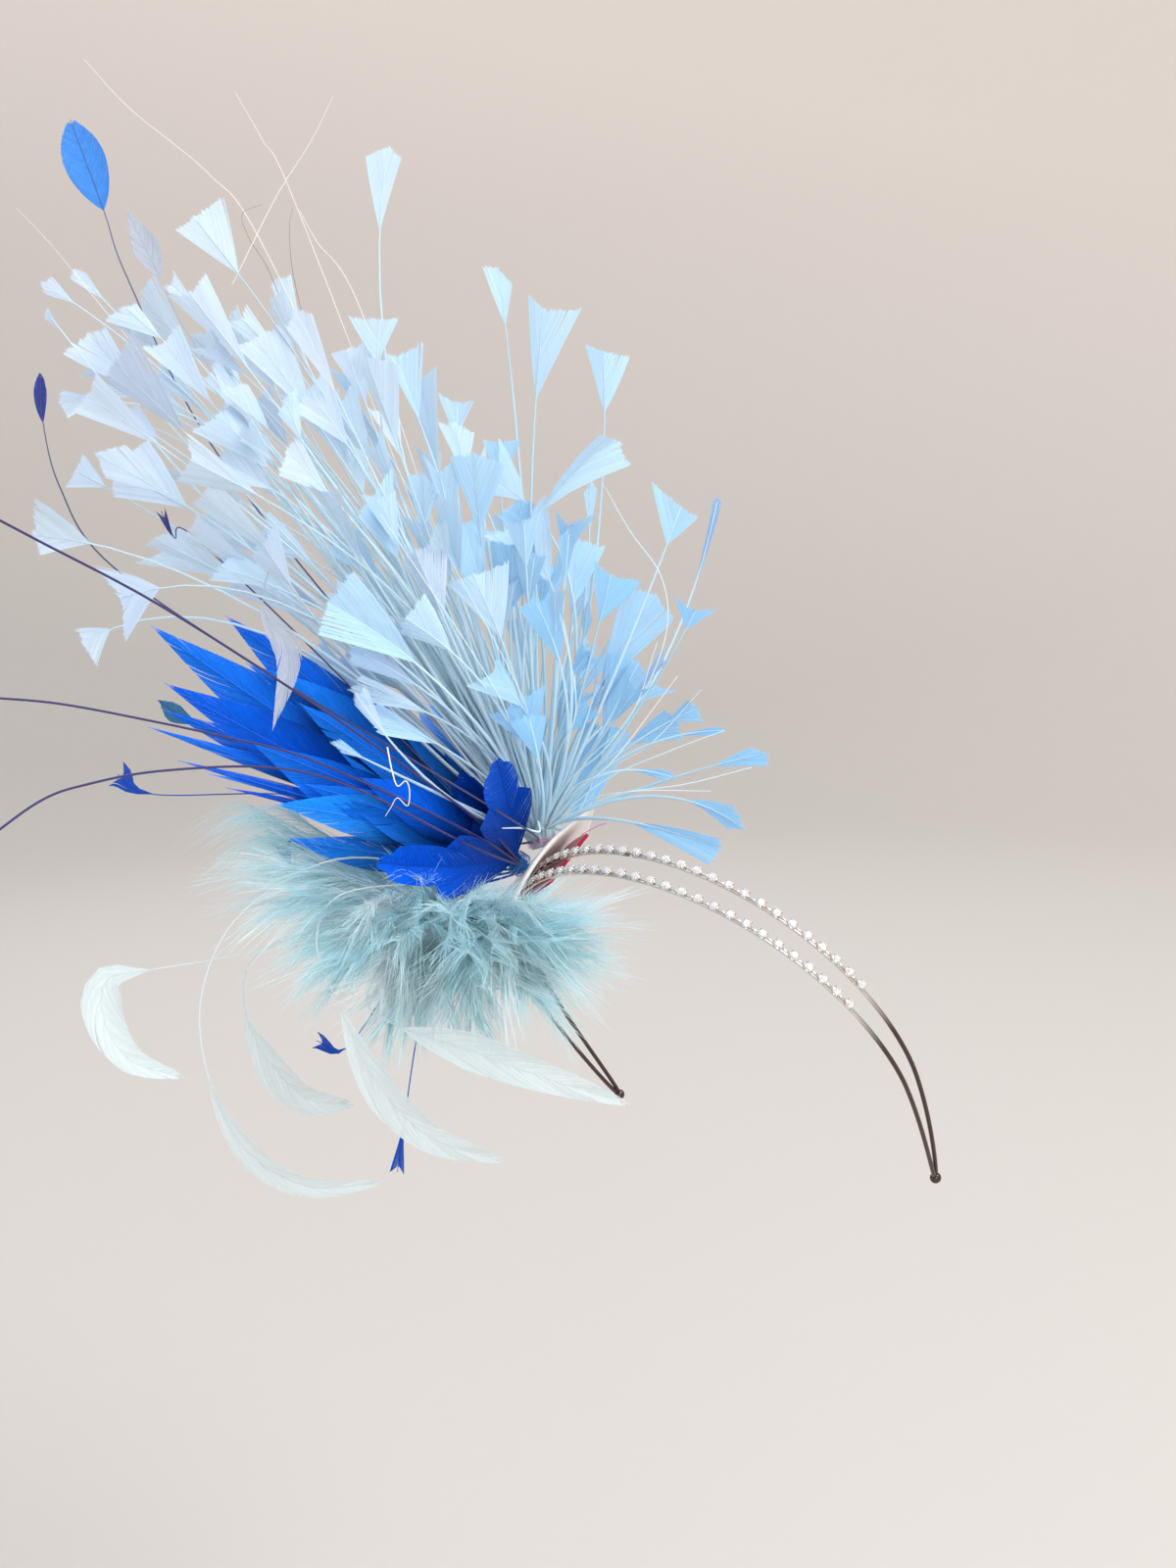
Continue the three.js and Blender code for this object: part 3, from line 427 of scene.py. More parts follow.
def vane(paths, face, start, width, kind, seed, tint, barbs=12, cut=None, sweep=0.3, cup=0.0, fold=0.0,
         uneven=0.0, ragged=0.0, split=0.14, fringe=0.35, steps=(0, 0.35, 0.7, 0.96), stray=0.05,
         tip_tint=1.0, root_tint=1.0, painted_side_light=0.0):
    """Barbs as closed ribbons that tile both sides of a vane.

    A barb leaves the rachis at the share x0, and j is its place among them from 0 to 1. On a fan it ends on
    the cut, at y = (1 - j) half width and x = 1 + (corner (1 - j) - notch j) / length. On a leaf it ends on
    the outline: x = x0 + sweep (1 - x0)^0.8, y = outline(x) half width. Between its ends a barb bows outwards
    by a share of m (1 - m). The two sides fold up by fold y and cup by y^2. A clump of barbs between two
    splits ends ragged. The colour starts at root_tint and reaches its full value half way up, which paints
    shade near the root. One side of the vane is painted lighter and the other darker by the same share,
    given last: painted light and painted shade.
    """
    feathers = len(start)
    along = unit(np.gradient(paths, axis=1))
    side_field = unit(np.cross(along, face[:, None]))
    up_field = np.cross(side_field, along)
    start = np.asarray(start, float)
    sides = np.array([-1, 1])[:, None]
    fold, uneven = (np.broadcast_to(v, feathers)[:, None, None] for v in (fold, uneven))
    half = (np.asarray(width, float) / 2)[:, None, None] * (1 + uneven * sides)
    length = np.linalg.norm(at(paths, np.ones((feathers, 1))) - at(paths, start[:, None]), axis=-1)[:, :, None]
    j = np.broadcast_to(np.arange(barbs + 1) / barbs, (feathers, 2, barbs + 1))
    if kind == "fan":
        corner = np.stack([cut["left"], cut["right"]], 1)[:, :, None]
        notch = np.asarray(cut["notch"], float)[:, None, None]
        x0 = 0.96 * j * (1 - np.maximum(notch, 0) / length)
        y1 = (1 - j) * half + 0.02
        x1 = 1 + (corner * (1 - j) - notch * j) / length
        bow = 0.1
    else:
        x0 = 0.95 * j
        x1 = x0 + sweep * (1 - x0) ** 0.8
        y1 = LEAF[kind](x1) * half + 0.02
        bow = 0.45
    number = seed[:, None, None] * 7.31 + sides * 131.7 + np.arange(barbs + 1)
    parted = chance(number, 11) < split
    gap = np.where(parted, 0.3 + 0.6 * chance(number, 12), 0.05 * chance(number, 12))[..., None]
    strip = number[..., :-1]
    clump = np.cumsum(parted, -1)[..., :-1] + number[..., :1]
    swing = (stray * spread(clump, 13))[..., None]
    rise = (stray * spread(clump, 14))[..., None] * 3
    reach = np.hypot((x1 - x0) * length, y1)[..., :-1]
    torn_off = 0.45 * chance(clump, 23) + 0.55 * chance(strip, 22)
    rag = 1 - ragged * torn_off / np.maximum(reach, 3 * ragged + 0.1)
    m = np.array(steps) * rag[..., None]
    bulge = m * (1 - m)
    opening = np.clip((m - 0.2) / 0.8, 0, 1) ** 1.4

    def curve(k):
        first = slice(k, barbs + k)
        x = x0[..., first, None] + (x1 - x0)[..., first, None] * (m - 0.3 * bow * bulge)
        return x, y1[..., first, None] * (m + bow * bulge)

    def place(own, other, share):
        xs = own[0] + (other[0] - own[0]) * share * opening * 0.5
        ys = (own[1] + (other[1] - own[1]) * share * opening * 0.5) * (1 + swing * m)
        share = start[:, None, None, None] + (1 - start)[:, None, None, None] * xs
        hold = np.clip(share, 0, 1)
        lift = (cup * ys ** 2 / half[..., None] + fold[..., None] * ys
                + (rise + 0.12 * spread(strip, 15)[..., None]) * m)
        return (at(paths, share) + at(side_field, hold) * (ys * sides[..., None])[..., None]
                + at(up_field, hold) * lift[..., None])

    low, high = curve(0), curve(1)
    left = place(low, high, gap[:, :, :-1])
    right = place(high, low, gap[:, :, 1:])
    middle = (left + right) / 2
    over = fringe * (0.25 + chance(strip, 16))[..., None]
    tip = middle[..., -1, :] + unit(middle[..., -1, :] - middle[..., -2, :]) * over
    lift = np.broadcast_to(at(up_field, start[:, None])[:, :, None, None], left.shape)
    ridge = 0.025 + 0.035 * np.linalg.norm(right - left, axis=-1)
    # random tone from barb to barb and clump to clump, and one side painted lighter, the other darker: painted
    # light and shade
    tone = 1 + 0.05 * spread(strip, 17) + 0.04 * spread(clump, 18) + painted_side_light * sides
    # near the root the colour is painted darker: painted shade
    tone = tone * (root_tint + (1 - root_tint) * np.clip(2 * x0[..., :-1], 0, 1))
    fade = np.append(steps, 1)
    shade = tint[:, None, None, None] * tone[..., None, None] * (1 + (tip_tint - 1) * fade[:, None])
    strips, count = feathers * 2 * barbs, len(steps)
    return ribbons(left.reshape(strips, count, 3), right.reshape(strips, count, 3),
                   lift.reshape(strips, count, 3), ridge.reshape(strips, count), tip.reshape(strips, 3),
                   shade.reshape(strips, count + 1, 3), chance(strip, 19).reshape(strips) * 50)


def stems(paths, thick, thin, tint, stop=None, samples=14, sides=5, painted_root_shade=1.0, power=0.8):
    """Rachis rods: the radius falls from thick at the root to thin at the share stop."""
    stop = np.ones(len(paths)) if stop is None else stop
    share = np.linspace(0, 1, samples) * stop[:, None]
    radius = thick + (thin - thick) * np.linspace(0, 1, samples) ** power + 0 * share
    # towards the root the colour is painted darker by the given share: painted shade
    shade = tint[:, None] * (painted_root_shade + (1 - painted_root_shade) * np.linspace(0, 1, samples)[:, None] ** 0.5)
    return rods(at(paths, share), radius, shade, sides)


# %% [markdown]
# ## Finishes for feathers
# Dyed feathers are matt with a soft sheen. Their colour varies from barb to barb, which the tint of each
# corner carries, and along each barb in fine streaks, which are noise stretched along the fibre. Pale webs
# and down stay a little see-through, because light passes between their barbs.

# %% Feather finish


def feather_finish(name, rough, sheen, clear, streak, gloss=0.3, sheen_tint="FFFFFF"):
    """tint * (1 - streak / 2 + streak * noise), the noise stretched along the barb."""
    finish, tree, shader = new_finish(name)
    tint = new_node(tree, "Attribute", attribute_name="tint")
    fibre = new_node(tree, "Attribute", attribute_name="fibre")
    stretched = new_node(tree, "Mapping", {"Vector": fibre.outputs["Vector"], "Scale": (2.2, 1.3, 1)})
    noise = new_node(tree, "TexNoise", {"Vector": stretched.outputs[0], "Scale": 3, "Detail": 3})
    tone = new_node(tree, "MapRange", {"Value": noise.outputs["Fac"], "From Min": 0.3, "From Max": 0.7,
                                       "To Min": 1 - streak / 2, "To Max": 1 + streak / 2})
    colour = new_node(tree, "VectorMath", {0: tint.outputs["Color"], "Scale": tone.outputs[0]},
                      operation="SCALE")
    bump = new_node(tree, "Bump", {"Height": noise.outputs["Fac"], "Strength": 0.15, "Distance": 0.0002})
    feed(tree, shader, {"Base Color": colour.outputs[0], "Normal": bump.outputs[0], "Roughness": rough,
                        "Sheen Weight": sheen, "Sheen Roughness": 0.4, "Alpha": clear,
                        "Sheen Tint": (*paint(sheen_tint), 1), "Specular IOR Level": gloss})
    return finish


SKY_FINISH = feather_finish("sky_feather_finish", 0.62, 0.1, 0.84, 0.08)
ROYAL_FINISH = feather_finish("royal_feather_finish", 0.5, 0, 1.0, 0.5, 0.07)
DOWN_FINISH = feather_finish("marabou_finish", 0.75, 1.0, 0.76, 0.12, sheen_tint="C8F2FF")
PALE_FINISH = feather_finish("pale_feather_finish", 0.55, 0.2, 0.72, 0.15)
DARK_FINISH = feather_finish("dark_feather_finish", 0.5, 0.04, 1.0, 0.25)

# %% [markdown]
# ## Where everything stands
# The band leans back from the crown, and the pad lies along its arch on the wearer's right. These few formulas
# are those of the frame's solids, so that a dressed piece lies on what carries it.

# %% The band, the pad and the bound heads
BAND = {"radius": 73, "leg": 52.3, "toe_in": 8.5, "lean": 33.8, "half_gap": 4.4, "wire": 1.4, "tip_ball": 3.6}
ROW = {"first": 0.256, "last": 0.744, "pitch": 5.2, "seat": 0.95}
PAD = {"angle": 129, "near": -20, "far": 22, "half_width": 24, "thick": 1.6, "lift": 4.1, "bow": 75,
       "curl": 7}
PATCH = {"near": -17, "far": 8, "low": -8, "high": 17, "drop": 5.2, "thick": 1}
GAP = 0.3
lean = np.radians(BAND["lean"])
BAND_LENGTH = np.pi * BAND["radius"] + 2 * BAND["leg"]
BAND_DEPTH = np.array([0, np.cos(lean), np.sin(lean)])


def in_band_plane(x, height):
    """A point of the band's own leaning plane."""
    x, height = np.broadcast_arrays(np.asarray(x, float), np.asarray(height, float))
    return np.stack([x, -height * np.sin(lean), height * np.cos(lean)], -1)


def band_place(share):
    """An arc of the band's radius with two straight legs below it that lean in by toe_in (run / leg)^1.5."""
    share = np.asarray(share, float)
    radius, leg = BAND["radius"], BAND["leg"]
    run = share * BAND_LENGTH
    angle = np.clip(run - leg, 0, np.pi * radius) / radius
    leg_run = np.maximum(np.maximum(leg - run, run - BAND_LENGTH + leg), 0)
    inward = np.sign(share - 0.5) * BAND["toe_in"] * (leg_run / leg) ** 1.5
    place = in_band_plane(radius * np.cos(angle) + inward, radius * (np.sin(angle) - 1) - leg_run)
    return place, in_band_plane(np.cos(angle), np.sin(angle))


def wire_place(share, side, lift=0.0):
    """The centre line of the front wire (side -1) or the rear one (side 1)."""
    place, out = band_place(share)
    gap = side * BAND["half_gap"] * np.sqrt(np.maximum(np.sin(np.pi * np.asarray(share, float)), 0))
    return place + BAND_DEPTH * gap[..., None] + out * lift


pad_angle = np.radians(PAD["angle"])
PAD_OUT = in_band_plane(np.cos(pad_angle), np.sin(pad_angle))
PAD_AWAY = in_band_plane(-np.sin(pad_angle), np.cos(pad_angle))
PAD_SEAT = in_band_plane(BAND["radius"] * np.cos(pad_angle), BAND["radius"] * (np.sin(pad_angle) - 1))


def pad_place(away, wide, lift):
    """A point over the pad: away along the arch, wide towards the wearer's back, lift outwards."""
    away, wide, lift = (np.asarray(v, float)[..., None] for v in (away, wide, lift))
    return PAD_SEAT + PAD_AWAY * away + BAND_DEPTH * wide + PAD_OUT * (PAD["lift"] + lift)


HEADS = {
    "sky": {"away": -11, "wide": 7, "toward": (-34, 34, -30), "length": 17, "foot": 6.0},
    "royal": {"away": -15, "wide": -5, "toward": (-48, 12, -14), "length": 15, "foot": 4.6},
}
BUNDLE_DEPTH = 0.32


def head_frame(head):
    """The foot of a bound head on the bowed pad, and the way that it points."""
    bow = head["wide"] ** 2 / (2 * PAD["bow"])
    foot = pad_place(head["away"], head["wide"], PAD["thick"] / 2 + GAP - bow)
    return foot, unit(on_sight(*head["toward"]) - foot)


def root_in(head, tip, number):
    """Where a feather leaves its bound head: its place in the bundle follows the way that its tip lies."""
    foot, axis = head_frame(head)
    begin = foot + axis * head["length"] * BUNDLE_DEPTH
    away = unit(tip - begin)
    sideways = away - axis * (away @ axis)[..., None]
    crossed = unit(sideways + np.cross(axis, sideways) * 0.9 * spread(number, 51)[..., None])
    sideways = crossed * np.linalg.norm(sideways, axis=-1, keepdims=True)
    return begin + sideways * (head["foot"] * (0.5 + 0.5 * chance(number, 9)))[..., None]


# %% [markdown]
# ## The sky spray
# Most of the ornament is a spray of stripped feathers with cut fan tips on long bare stems. The ones that
# stand out are charted: the middle of the cut and the foot of the vane on the viewing plane, with a depth.
# The rest are drawn round a few places. Those high up on the left are nearly white, and those low on the
# right are a stronger blue.

# %% The charted fans
FAN_COLUMNS = "tip_across tip_rise base_across base_rise toward width roll notch"
SKY_FANS = columns(FAN_COLUMNS, [
    (-129, 194, -111, 173, 5, 18, 10, 1), (-70, 211, -74, 182, -25, 13, 35, -4),
    (-72, 164, -72, 145, 0, 16, 15, 1), (-37, 176, -36, 155, -40, 11, 30, -2),
    (-23, 170, -29, 135, -5, 17, -10, 5), (-6, 153, -5, 132, -30, 15, 10, 0),
    (-4, 125, -31, 107, 5, 13, 20, -3), (-10, 113, -10, 96, -45, 7, 50, -2),
    (18, 109, 11, 93, -15, 19, 10, 3), (23, 79, 17, 69, -5, 14, -15, 3),
    (-175, 98, -152, 96, 20, 18, -20, -1), (-152, 78, -133, 86, 30, 25, 0, 2),
    (-160, 66, -150, 73, 0, 16, 20, -1), (-151, 117, -125, 105, -15, 22, 10, -2),
    (-173, 173, -158, 164, -20, 9, 40, 0), (-168, 137, -152, 141, -10, 11, 15, 0),
    (-27, 80, -15, 59, 12, 14, 0, 1), (-62, 94, -54, 71, 20, 14, -10, 0),
    (-89, 79, -61, 60, 25, 22, 5, 1), (-77, 51, -56, 46, 10, 9, 30, -6),
    (-73, 45, -53, 36, 16, 9, 20, -6), (-28, 44, -24, 30, 8, 12, 20, -2),
    (-4, 40, -12, 12, -55, 18, 0, -2), (23, 47, 12, 42, -20, 9, 20, 0),
    (41, 33, 25, 29, -25, 7, 0, -2), (34, 12, 19, 23, -15, 8, 25, -3),
    (26, 6, 4, 15, -8, 9, 15, -4),
])
SKY_INNER = columns(FAN_COLUMNS, [
    (-163, 177, -150, 165, -55, 6, 20, 0), (-171, 164, -166, 157, 8, 3, 0, -1),
    (-150, 167, -133, 153, 5, 11, 20, 1), (-159, 158, -141, 137, -5, 16, 10, -1),
    (-151, 147, -133, 138, -12, 18, 15, 1), (-148, 133, -134, 125, 12, 9, 20, -1),
    (-155, 121, -132, 111, 18, 12, 0, -3), (-163, 117, -150, 110, -30, 14, 20, 0),
    (-103, 173, -93, 148, -25, 8, 30, -2), (-114, 163, -97, 145, -10, 10, 25, 0),
    (-83, 155, -75, 132, -5, 15, 10, 2), (-94, 142, -79, 123, 8, 16, 5, 0),
    (-122, 121, -101, 109, 10, 17, 10, 1), (-109, 156, -88, 132, 2, 17, 20, -1),
    (-137, 156, -120, 134, 12, 14, 15, 0), (-49, 139, -49, 125, -60, 13, 10, 1),
    (-38, 128, -36, 111, -20, 13, 20, 2), (-41, 116, -26, 106, -15, 20, 5, 3),
    (-59, 115, -60, 96, -10, 11, 25, -2), (-32, 103, -20, 84, -5, 24, 10, 3),
    (-48, 103, -42, 78, 5, 18, 5, 1), (10, 81, -7, 56, -35, 20, 10, 0),
    (28, 109, 21, 80, -40, 3, 0, -2), (-78, 63, -58, 54, 14, 9, 20, -5),
    (-33, 47, -26, 35, 4, 20, 10, -1), (30, 40, 15, 41, -18, 3, 0, -1),
    (15, 26, 2, 30, -14, 4, 10, -2), (-121, 89, -98, 84, 10, 13, 20, 0),
    (-109, 99, -89, 90, -5, 16, 10, 1), (-85, 98, -69, 82, -20, 14, 10, -1),
    (-125, 105, -104, 93, -25, 14, 15, 0), (-46, 89, -34, 67, 16, 20, 0, 2),
    (-3, 89, -6, 70, -15, 18, 15, 2), (-14, 96, -15, 76, -28, 16, 20, -2),
    (5, 61, -4, 41, -30, 16, 10, 0), (15, 42, 1, 37, -25, 12, 20, -3),
    (-40, 58, -28, 47, 10, 15, 25, 1), (-66, 74, -48, 62, 22, 15, -10, 0),
    (-79, 50, -70, 35, 24, 6, 20, -2), (-86, 36, -74, 30, 26, 4, 20, -2),
])
SKY_CLUSTERS = columns("across rise toward radius deep size count", [
    (-141, 150, -10, 25, 45, 20, 15), (-104, 150, -20, 22, 60, 20, 15),
    (-70, 132, -35, 22, 55, 20, 13), (-118, 108, -10, 28, 55, 22, 13),
    (-46, 112, -30, 20, 60, 19, 15), (-18, 92, -30, 18, 55, 18, 16),
    (-86, 78, -45, 20, 35, 21, 10), (-2, 58, -40, 15, 45, 15, 14),
])

# %% Fans on their stems
ICE = paint("D2E6F8")
LIGHT_SKY = paint("BCE1FB")
STRONG_SKY = paint("98D0F8")
GREY_SKY = paint("AEBCDD")
STEM_SKY = paint("D6F2FC")


def sky_tint(tips, number):
    """White at the top left and blue at the low right: the share is across / 150 - rise / 250 + 1.2."""
    across = tips @ ACROSS
    rise = tips @ RISE
    share = np.clip(across / 150 - rise / 250 + 1.2 + 0.3 * spread(number, 31), 0, 1)[:, None]
    tint = np.where(share < 0.5, ICE + (LIGHT_SKY - ICE) * share * 2,
                    LIGHT_SKY + (STRONG_SKY - LIGHT_SKY) * (share * 2 - 1))
    grey = (chance(number, 32) < 0.1)[:, None] * 0.4
    return tint * (1 - grey) + GREY_SKY * grey


def path_length(paths):
    """The length of each line, summed over its samples."""
    return np.linalg.norm(np.diff(paths, axis=1), axis=-1).sum(1)


def wander(number):
    """A draw to the side and up for each feather, at most one millimetre each way."""
    return ACROSS * spread(number, 35)[:, None] + RISE * spread(number, 36)[:, None]


def charted_fans(table, number):
    """Bent stems from the head through the foot of each charted vane to its cut end."""
    tip = on_sight(table["tip_across"], table["tip_rise"], table["toward"])
    foot = on_sight(table["base_across"], table["base_rise"], table["toward"] - 2)
    root = root_in(HEADS["sky"], tip, number)
    back = unit(foot - tip)
    distance = np.linalg.norm(foot - root, axis=-1, keepdims=True)
    control = foot + back * 0.32 * distance + 0.05 * distance * wander(number)
    paths = bent(root, control, tip)
    start = 1 - np.linalg.norm(tip - foot, axis=-1) / path_length(paths)
    return {"paths": paths, "start": start, "width": table["width"], "notch": table["notch"],
            "face": rolled_face(tip - foot, table["roll"]), "number": number, "tips": tip}


LARGE_IN_CLUSTER = 8


def drawn_fans():
    """Fans round each cluster's place, numbered from 100 (cluster + 1). The first ones are the large ones."""
    number, row = drawn_out(SKY_CLUSTERS, 100, 100)
    large = number % 100 < LARGE_IN_CLUSTER
    way = 2 * np.pi * chance(number, 0)
    reach = row["radius"] * np.sqrt(chance(number, 1))
    tip = on_sight(row["across"] + reach * np.cos(way), row["rise"] + reach * np.sin(way),
                   row["toward"] + row["deep"] * spread(number, 2))
    root = root_in(HEADS["sky"], tip, number)
    distance = np.linalg.norm(tip - root, axis=-1, keepdims=True)
    control = root + head_frame(HEADS["sky"])[1] * 0.4 * distance
    control = control + ((root + tip) / 2 - control) * (0.35 + 0.4 * chance(number, 5))[:, None]
    control = control + np.where(large, 0.07, 0.16)[:, None] * distance * wander(number)
    paths = bent(root, control, tip)
    size = row["size"] * (0.8 + 0.45 * chance(number, 6)) * np.where(large, 1, 0.75)
    return {"paths": paths, "start": 1 - size / path_length(paths), "notch": 1 + 3 * spread(number, 10),
            "width": size * (0.45 + 0.5 * chance(number, 7)), "number": number, "tips": tip,
            "face": rolled_face(tip - control, 70 * spread(number, 8))}


def fan_parts(fans, corner):
    """The vanes and the stems of some fans. The cut's corners reach out by up to corner millimetres."""
    number = fans["number"]
    notch = fans["notch"] + 1.4 * chance(number, 53)
    cut = {"left": corner * spread(number, 3), "right": corner * spread(number, 4), "notch": notch}
    tint = sky_tint(fans["tips"], number)
    stop = 1 - np.maximum(notch, 0) / path_length(fans["paths"]) - 0.01
    vanes = vane(fans["paths"], fans["face"], fans["start"], fans["width"], "fan", number, tint, cut=cut,
                 cup=0.25 * spread(number, 37)[:, None, None, None], fold=0.6 * spread(number, 38) ** 3,
                 uneven=0.35 * spread(number, 39), ragged=1.7, barbs=22, split=0.1, fringe=0.8,
                 tip_tint=1.06, stray=0.035)
    shade = (STEM_SKY * 0.65 + tint * 0.35) * (1 + 0.12 * spread(number, 52)[:, None])
    return vanes, stems(fans["paths"], STEM_RADIUS["root"], STEM_RADIUS["tip"], shade, stop, power=1.3)


def bound_roots(paths, head, radius, tint, keep):
    """The stems' ends below the mouth of a bound head, drawn together towards its foot on the pad."""
    every = max(len(paths) // keep, 1)
    chosen = paths[::every]
    foot, axis = head_frame(head)
    root = chosen[:, 0]
    height = (root - foot) @ axis
    outward = root - foot - axis * height[:, None]
    low = foot + axis * 0.3 + outward * 0.75
    waist = foot + axis * 0.5 * height[:, None] + outward * 0.84
    lines = np.stack([low, waist, root + (chosen[:, 1] - root) * 0.3], 1)
    return rods(lines, np.full(lines.shape[:2], radius), tint[::every, None], sides=6)


STEM_RADIUS = {"root": 0.74, "tip": 0.16}
charted = [charted_fans(SKY_FANS, np.arange(len(SKY_FANS["width"]))),
           charted_fans(SKY_INNER, 50 + np.arange(len(SKY_INNER["width"])))]
drawn = drawn_fans()
every_path = np.concatenate([fans["paths"] for fans in [*charted, drawn]])
every_number = np.concatenate([fans["number"] for fans in [*charted, drawn]])
root_tint = STEM_SKY * (0.72 + 0.28 * chance(every_number, 40)[:, None])
sky_roots = bound_roots(every_path, HEADS["sky"], STEM_RADIUS["root"], root_tint, 180)
piece("sky_spray", [*(p for fans in charted for p in fan_parts(fans, 3.2)), sky_roots], SKY_FINISH,
      ["sky_plume"])
piece("sky_fill", fan_parts(drawn, 5.0), SKY_FINISH, ["sky_plume"])
print("fans in the spray:", len(every_number))

# %% [markdown]
# ## The royal blades
# The blades are whole feathers, trimmed to smooth points, and five broader ones in front have torn edges.
# Their barbs lie close to the rachis, so the colour runs in long streaks from deep blue at the root to a
# lighter blue at the tip. The darkest blue at the roots and on the petals at the back is painted shade in the
# hollow where the feathers meet the head, and one side of each blade is painted lighter than the other.

# %% Blades
BLADE_COLUMNS = "across rise toward width roll bend vane"
ROYAL_BLADES = columns(BLADE_COLUMNS, [
    (-118, 74, -12, 16, 10, 6, 0.3), (-140, 71, 0, 17, 0, -4, 0.35), (-136, 54, 12, 17, -10, -3, 0.3),
    (-136, 46, -14, 10, 20, 2, 0.35), (-141, 41, 4, 5, 5, 3, 0.3), (-132, 31, 12, 4, -15, 2, 0.3),
    (-123, 27, -20, 4, 30, 4, 0.3), (-118, 23, -4, 3, 10, 3, 0.3), (-103, 18, 10, 15, -5, 5, 0.25),
    (-87, 60, -30, 16, 20, -6, 0.3),
    (-105, 48, -55, 15, 30, 8, 0.3), (-96, 30, -70, 16, 40, 8, 0.3), (-84, 6, -62, 17, 60, 8, 0.3),
    (-72, 34, -92, 15, 50, 10, 0.3),
])
DEEP_ROYAL = paint("0052D2")
ROYAL = paint("208CF4")


def blade_paths(table, number):
    """Bent lines from the royal head to each tip, raised by the bend, and the way that each vane faces."""
    tip = on_sight(table["across"], table["rise"], table["toward"])
    root = root_in(HEADS["royal"], tip, number)
    control = (root + tip) / 2 + RISE * table["bend"][:, None] + NEAR * 3 * spread(number, 2)[:, None]
    return bent(root, control, tip), rolled_face(tip - root, table["roll"])


ROYAL_PETALS = columns(BLADE_COLUMNS, [
    (-38, 32, 20, 27, 25, 6, 0.02), (-74, 1, 34, 27, -12, -3, 0.02), (-48, 28, 2, 22, -30, 5, 0.04),
    (-60, 14, -14, 17, 40, 2, 0.06), (-50, 24, -2, 20, 20, 6, 0.03),
])
ROYAL_FILL = columns(BLADE_COLUMNS, [
    (-126, 62, -22, 14, -20, 3, 0.3), (-112, 60, -8, 15, 15, 4, 0.25), (-104, 66, -30, 13, -30, 5, 0.3),
    (-120, 48, 2, 14, 25, -2, 0.3), (-110, 36, 12, 18, -15, 3, 0.25), (-96, 48, 4, 15, 10, 3, 0.2),
    (-94, 24, 10, 15, -20, 3, 0.2), (-84, 44, -16, 15, 30, 4, 0.2), (-78, 26, 8, 15, 10, 2, 0.15),
    (-100, 8, -6, 12, 30, -3, 0.3), (-66, 44, -30, 13, -35, 4, 0.25), (-84, 20, 2, 13, 5, 2, 0.2),
    (-90, 40, -84, 14, 20, 8, 0.3), (-76, 14, -84, 14, 60, 6, 0.3), (-62, 50, -74, 13, 30, 8, 0.3),
])
blade_rows = {key: np.concatenate([ROYAL_BLADES[key], ROYAL_FILL[key]]) for key in ROYAL_BLADES}
# the numbers 810 and 811 belong to the first two petals, so the blades skip them
blade_number = 800 + np.arange(len(blade_rows["width"]))
blade_number = blade_number + (blade_number >= 810) * 2
blade_line, blade_face = blade_paths(blade_rows, blade_number)
petal_number = np.array([810, 811, 860, 861, 862])
petal_line, petal_face = blade_paths(ROYAL_PETALS, petal_number)
blade_tint = DEEP_ROYAL + (ROYAL - DEEP_ROYAL) * chance(blade_number, 33)[:, None]
# the three petals at the back are painted darker than the front two: painted shade in the hollow
petal_tint_and_shade = DEEP_ROYAL * np.array([0.85, 1.0, 0.5, 0.6, 0.35])[:, None]
BLADE_STEPS = (0, 0.25, 0.5, 0.75, 0.96)
# the low root_tint paints shade near the roots, and one side of each blade is painted lighter than the other:
# painted light and shade
royal_vanes = vane(blade_line, blade_face, blade_rows["vane"], blade_rows["width"], "blade", blade_number,
                   blade_tint, barbs=34, sweep=0.4, cup=0.25, fold=0.35 * spread(blade_number, 38),
                   split=0.05, ragged=0.2, fringe=0.2, stray=0.02, tip_tint=1.3, root_tint=0.12, painted_side_light=0.12,
                   uneven=0.3 * spread(blade_number, 39), steps=BLADE_STEPS)
petal_vanes = vane(petal_line, petal_face, ROYAL_PETALS["vane"], ROYAL_PETALS["width"], "torn", petal_number,
                   petal_tint_and_shade, barbs=40, sweep=0.42, cup=0.35, fold=0.3, split=0.03, ragged=0.15,
                   fringe=0.15, uneven=np.array([-0.3, 0.15, -0.3, 0, -0.2]), stray=0.02, tip_tint=1.3,
                   root_tint=0.4, steps=BLADE_STEPS)
# the bound roots are painted at 0.6 of their feathers' colour: painted shade inside the bound head
royal_roots = bound_roots(np.concatenate([blade_line, petal_line]), HEADS["royal"], 0.6,
                          np.concatenate([blade_tint, petal_tint_and_shade]) * 0.6, 70)
# the royal stems are painted almost black at the root: painted shade in the hollow
royal_stems = stems(blade_line, 0.42, 0.1, blade_tint * 1.6 + 0.04, samples=20, painted_root_shade=0.08)
petal_stems = stems(petal_line, 0.4, 0.1, petal_tint_and_shade * 0.8)
piece("royal_blades", [royal_vanes, petal_vanes, royal_roots, royal_stems, petal_stems], ROYAL_FINISH,
      ["royal_plume"])

# %% [markdown]
# ## Marabou
# Marabou is down: soft plumes whose long barbs do not hold together but float. Each plume here is a short
# rachis with loose barbs on both sides, which curve and hang a little. A row of the table is a lock of them.

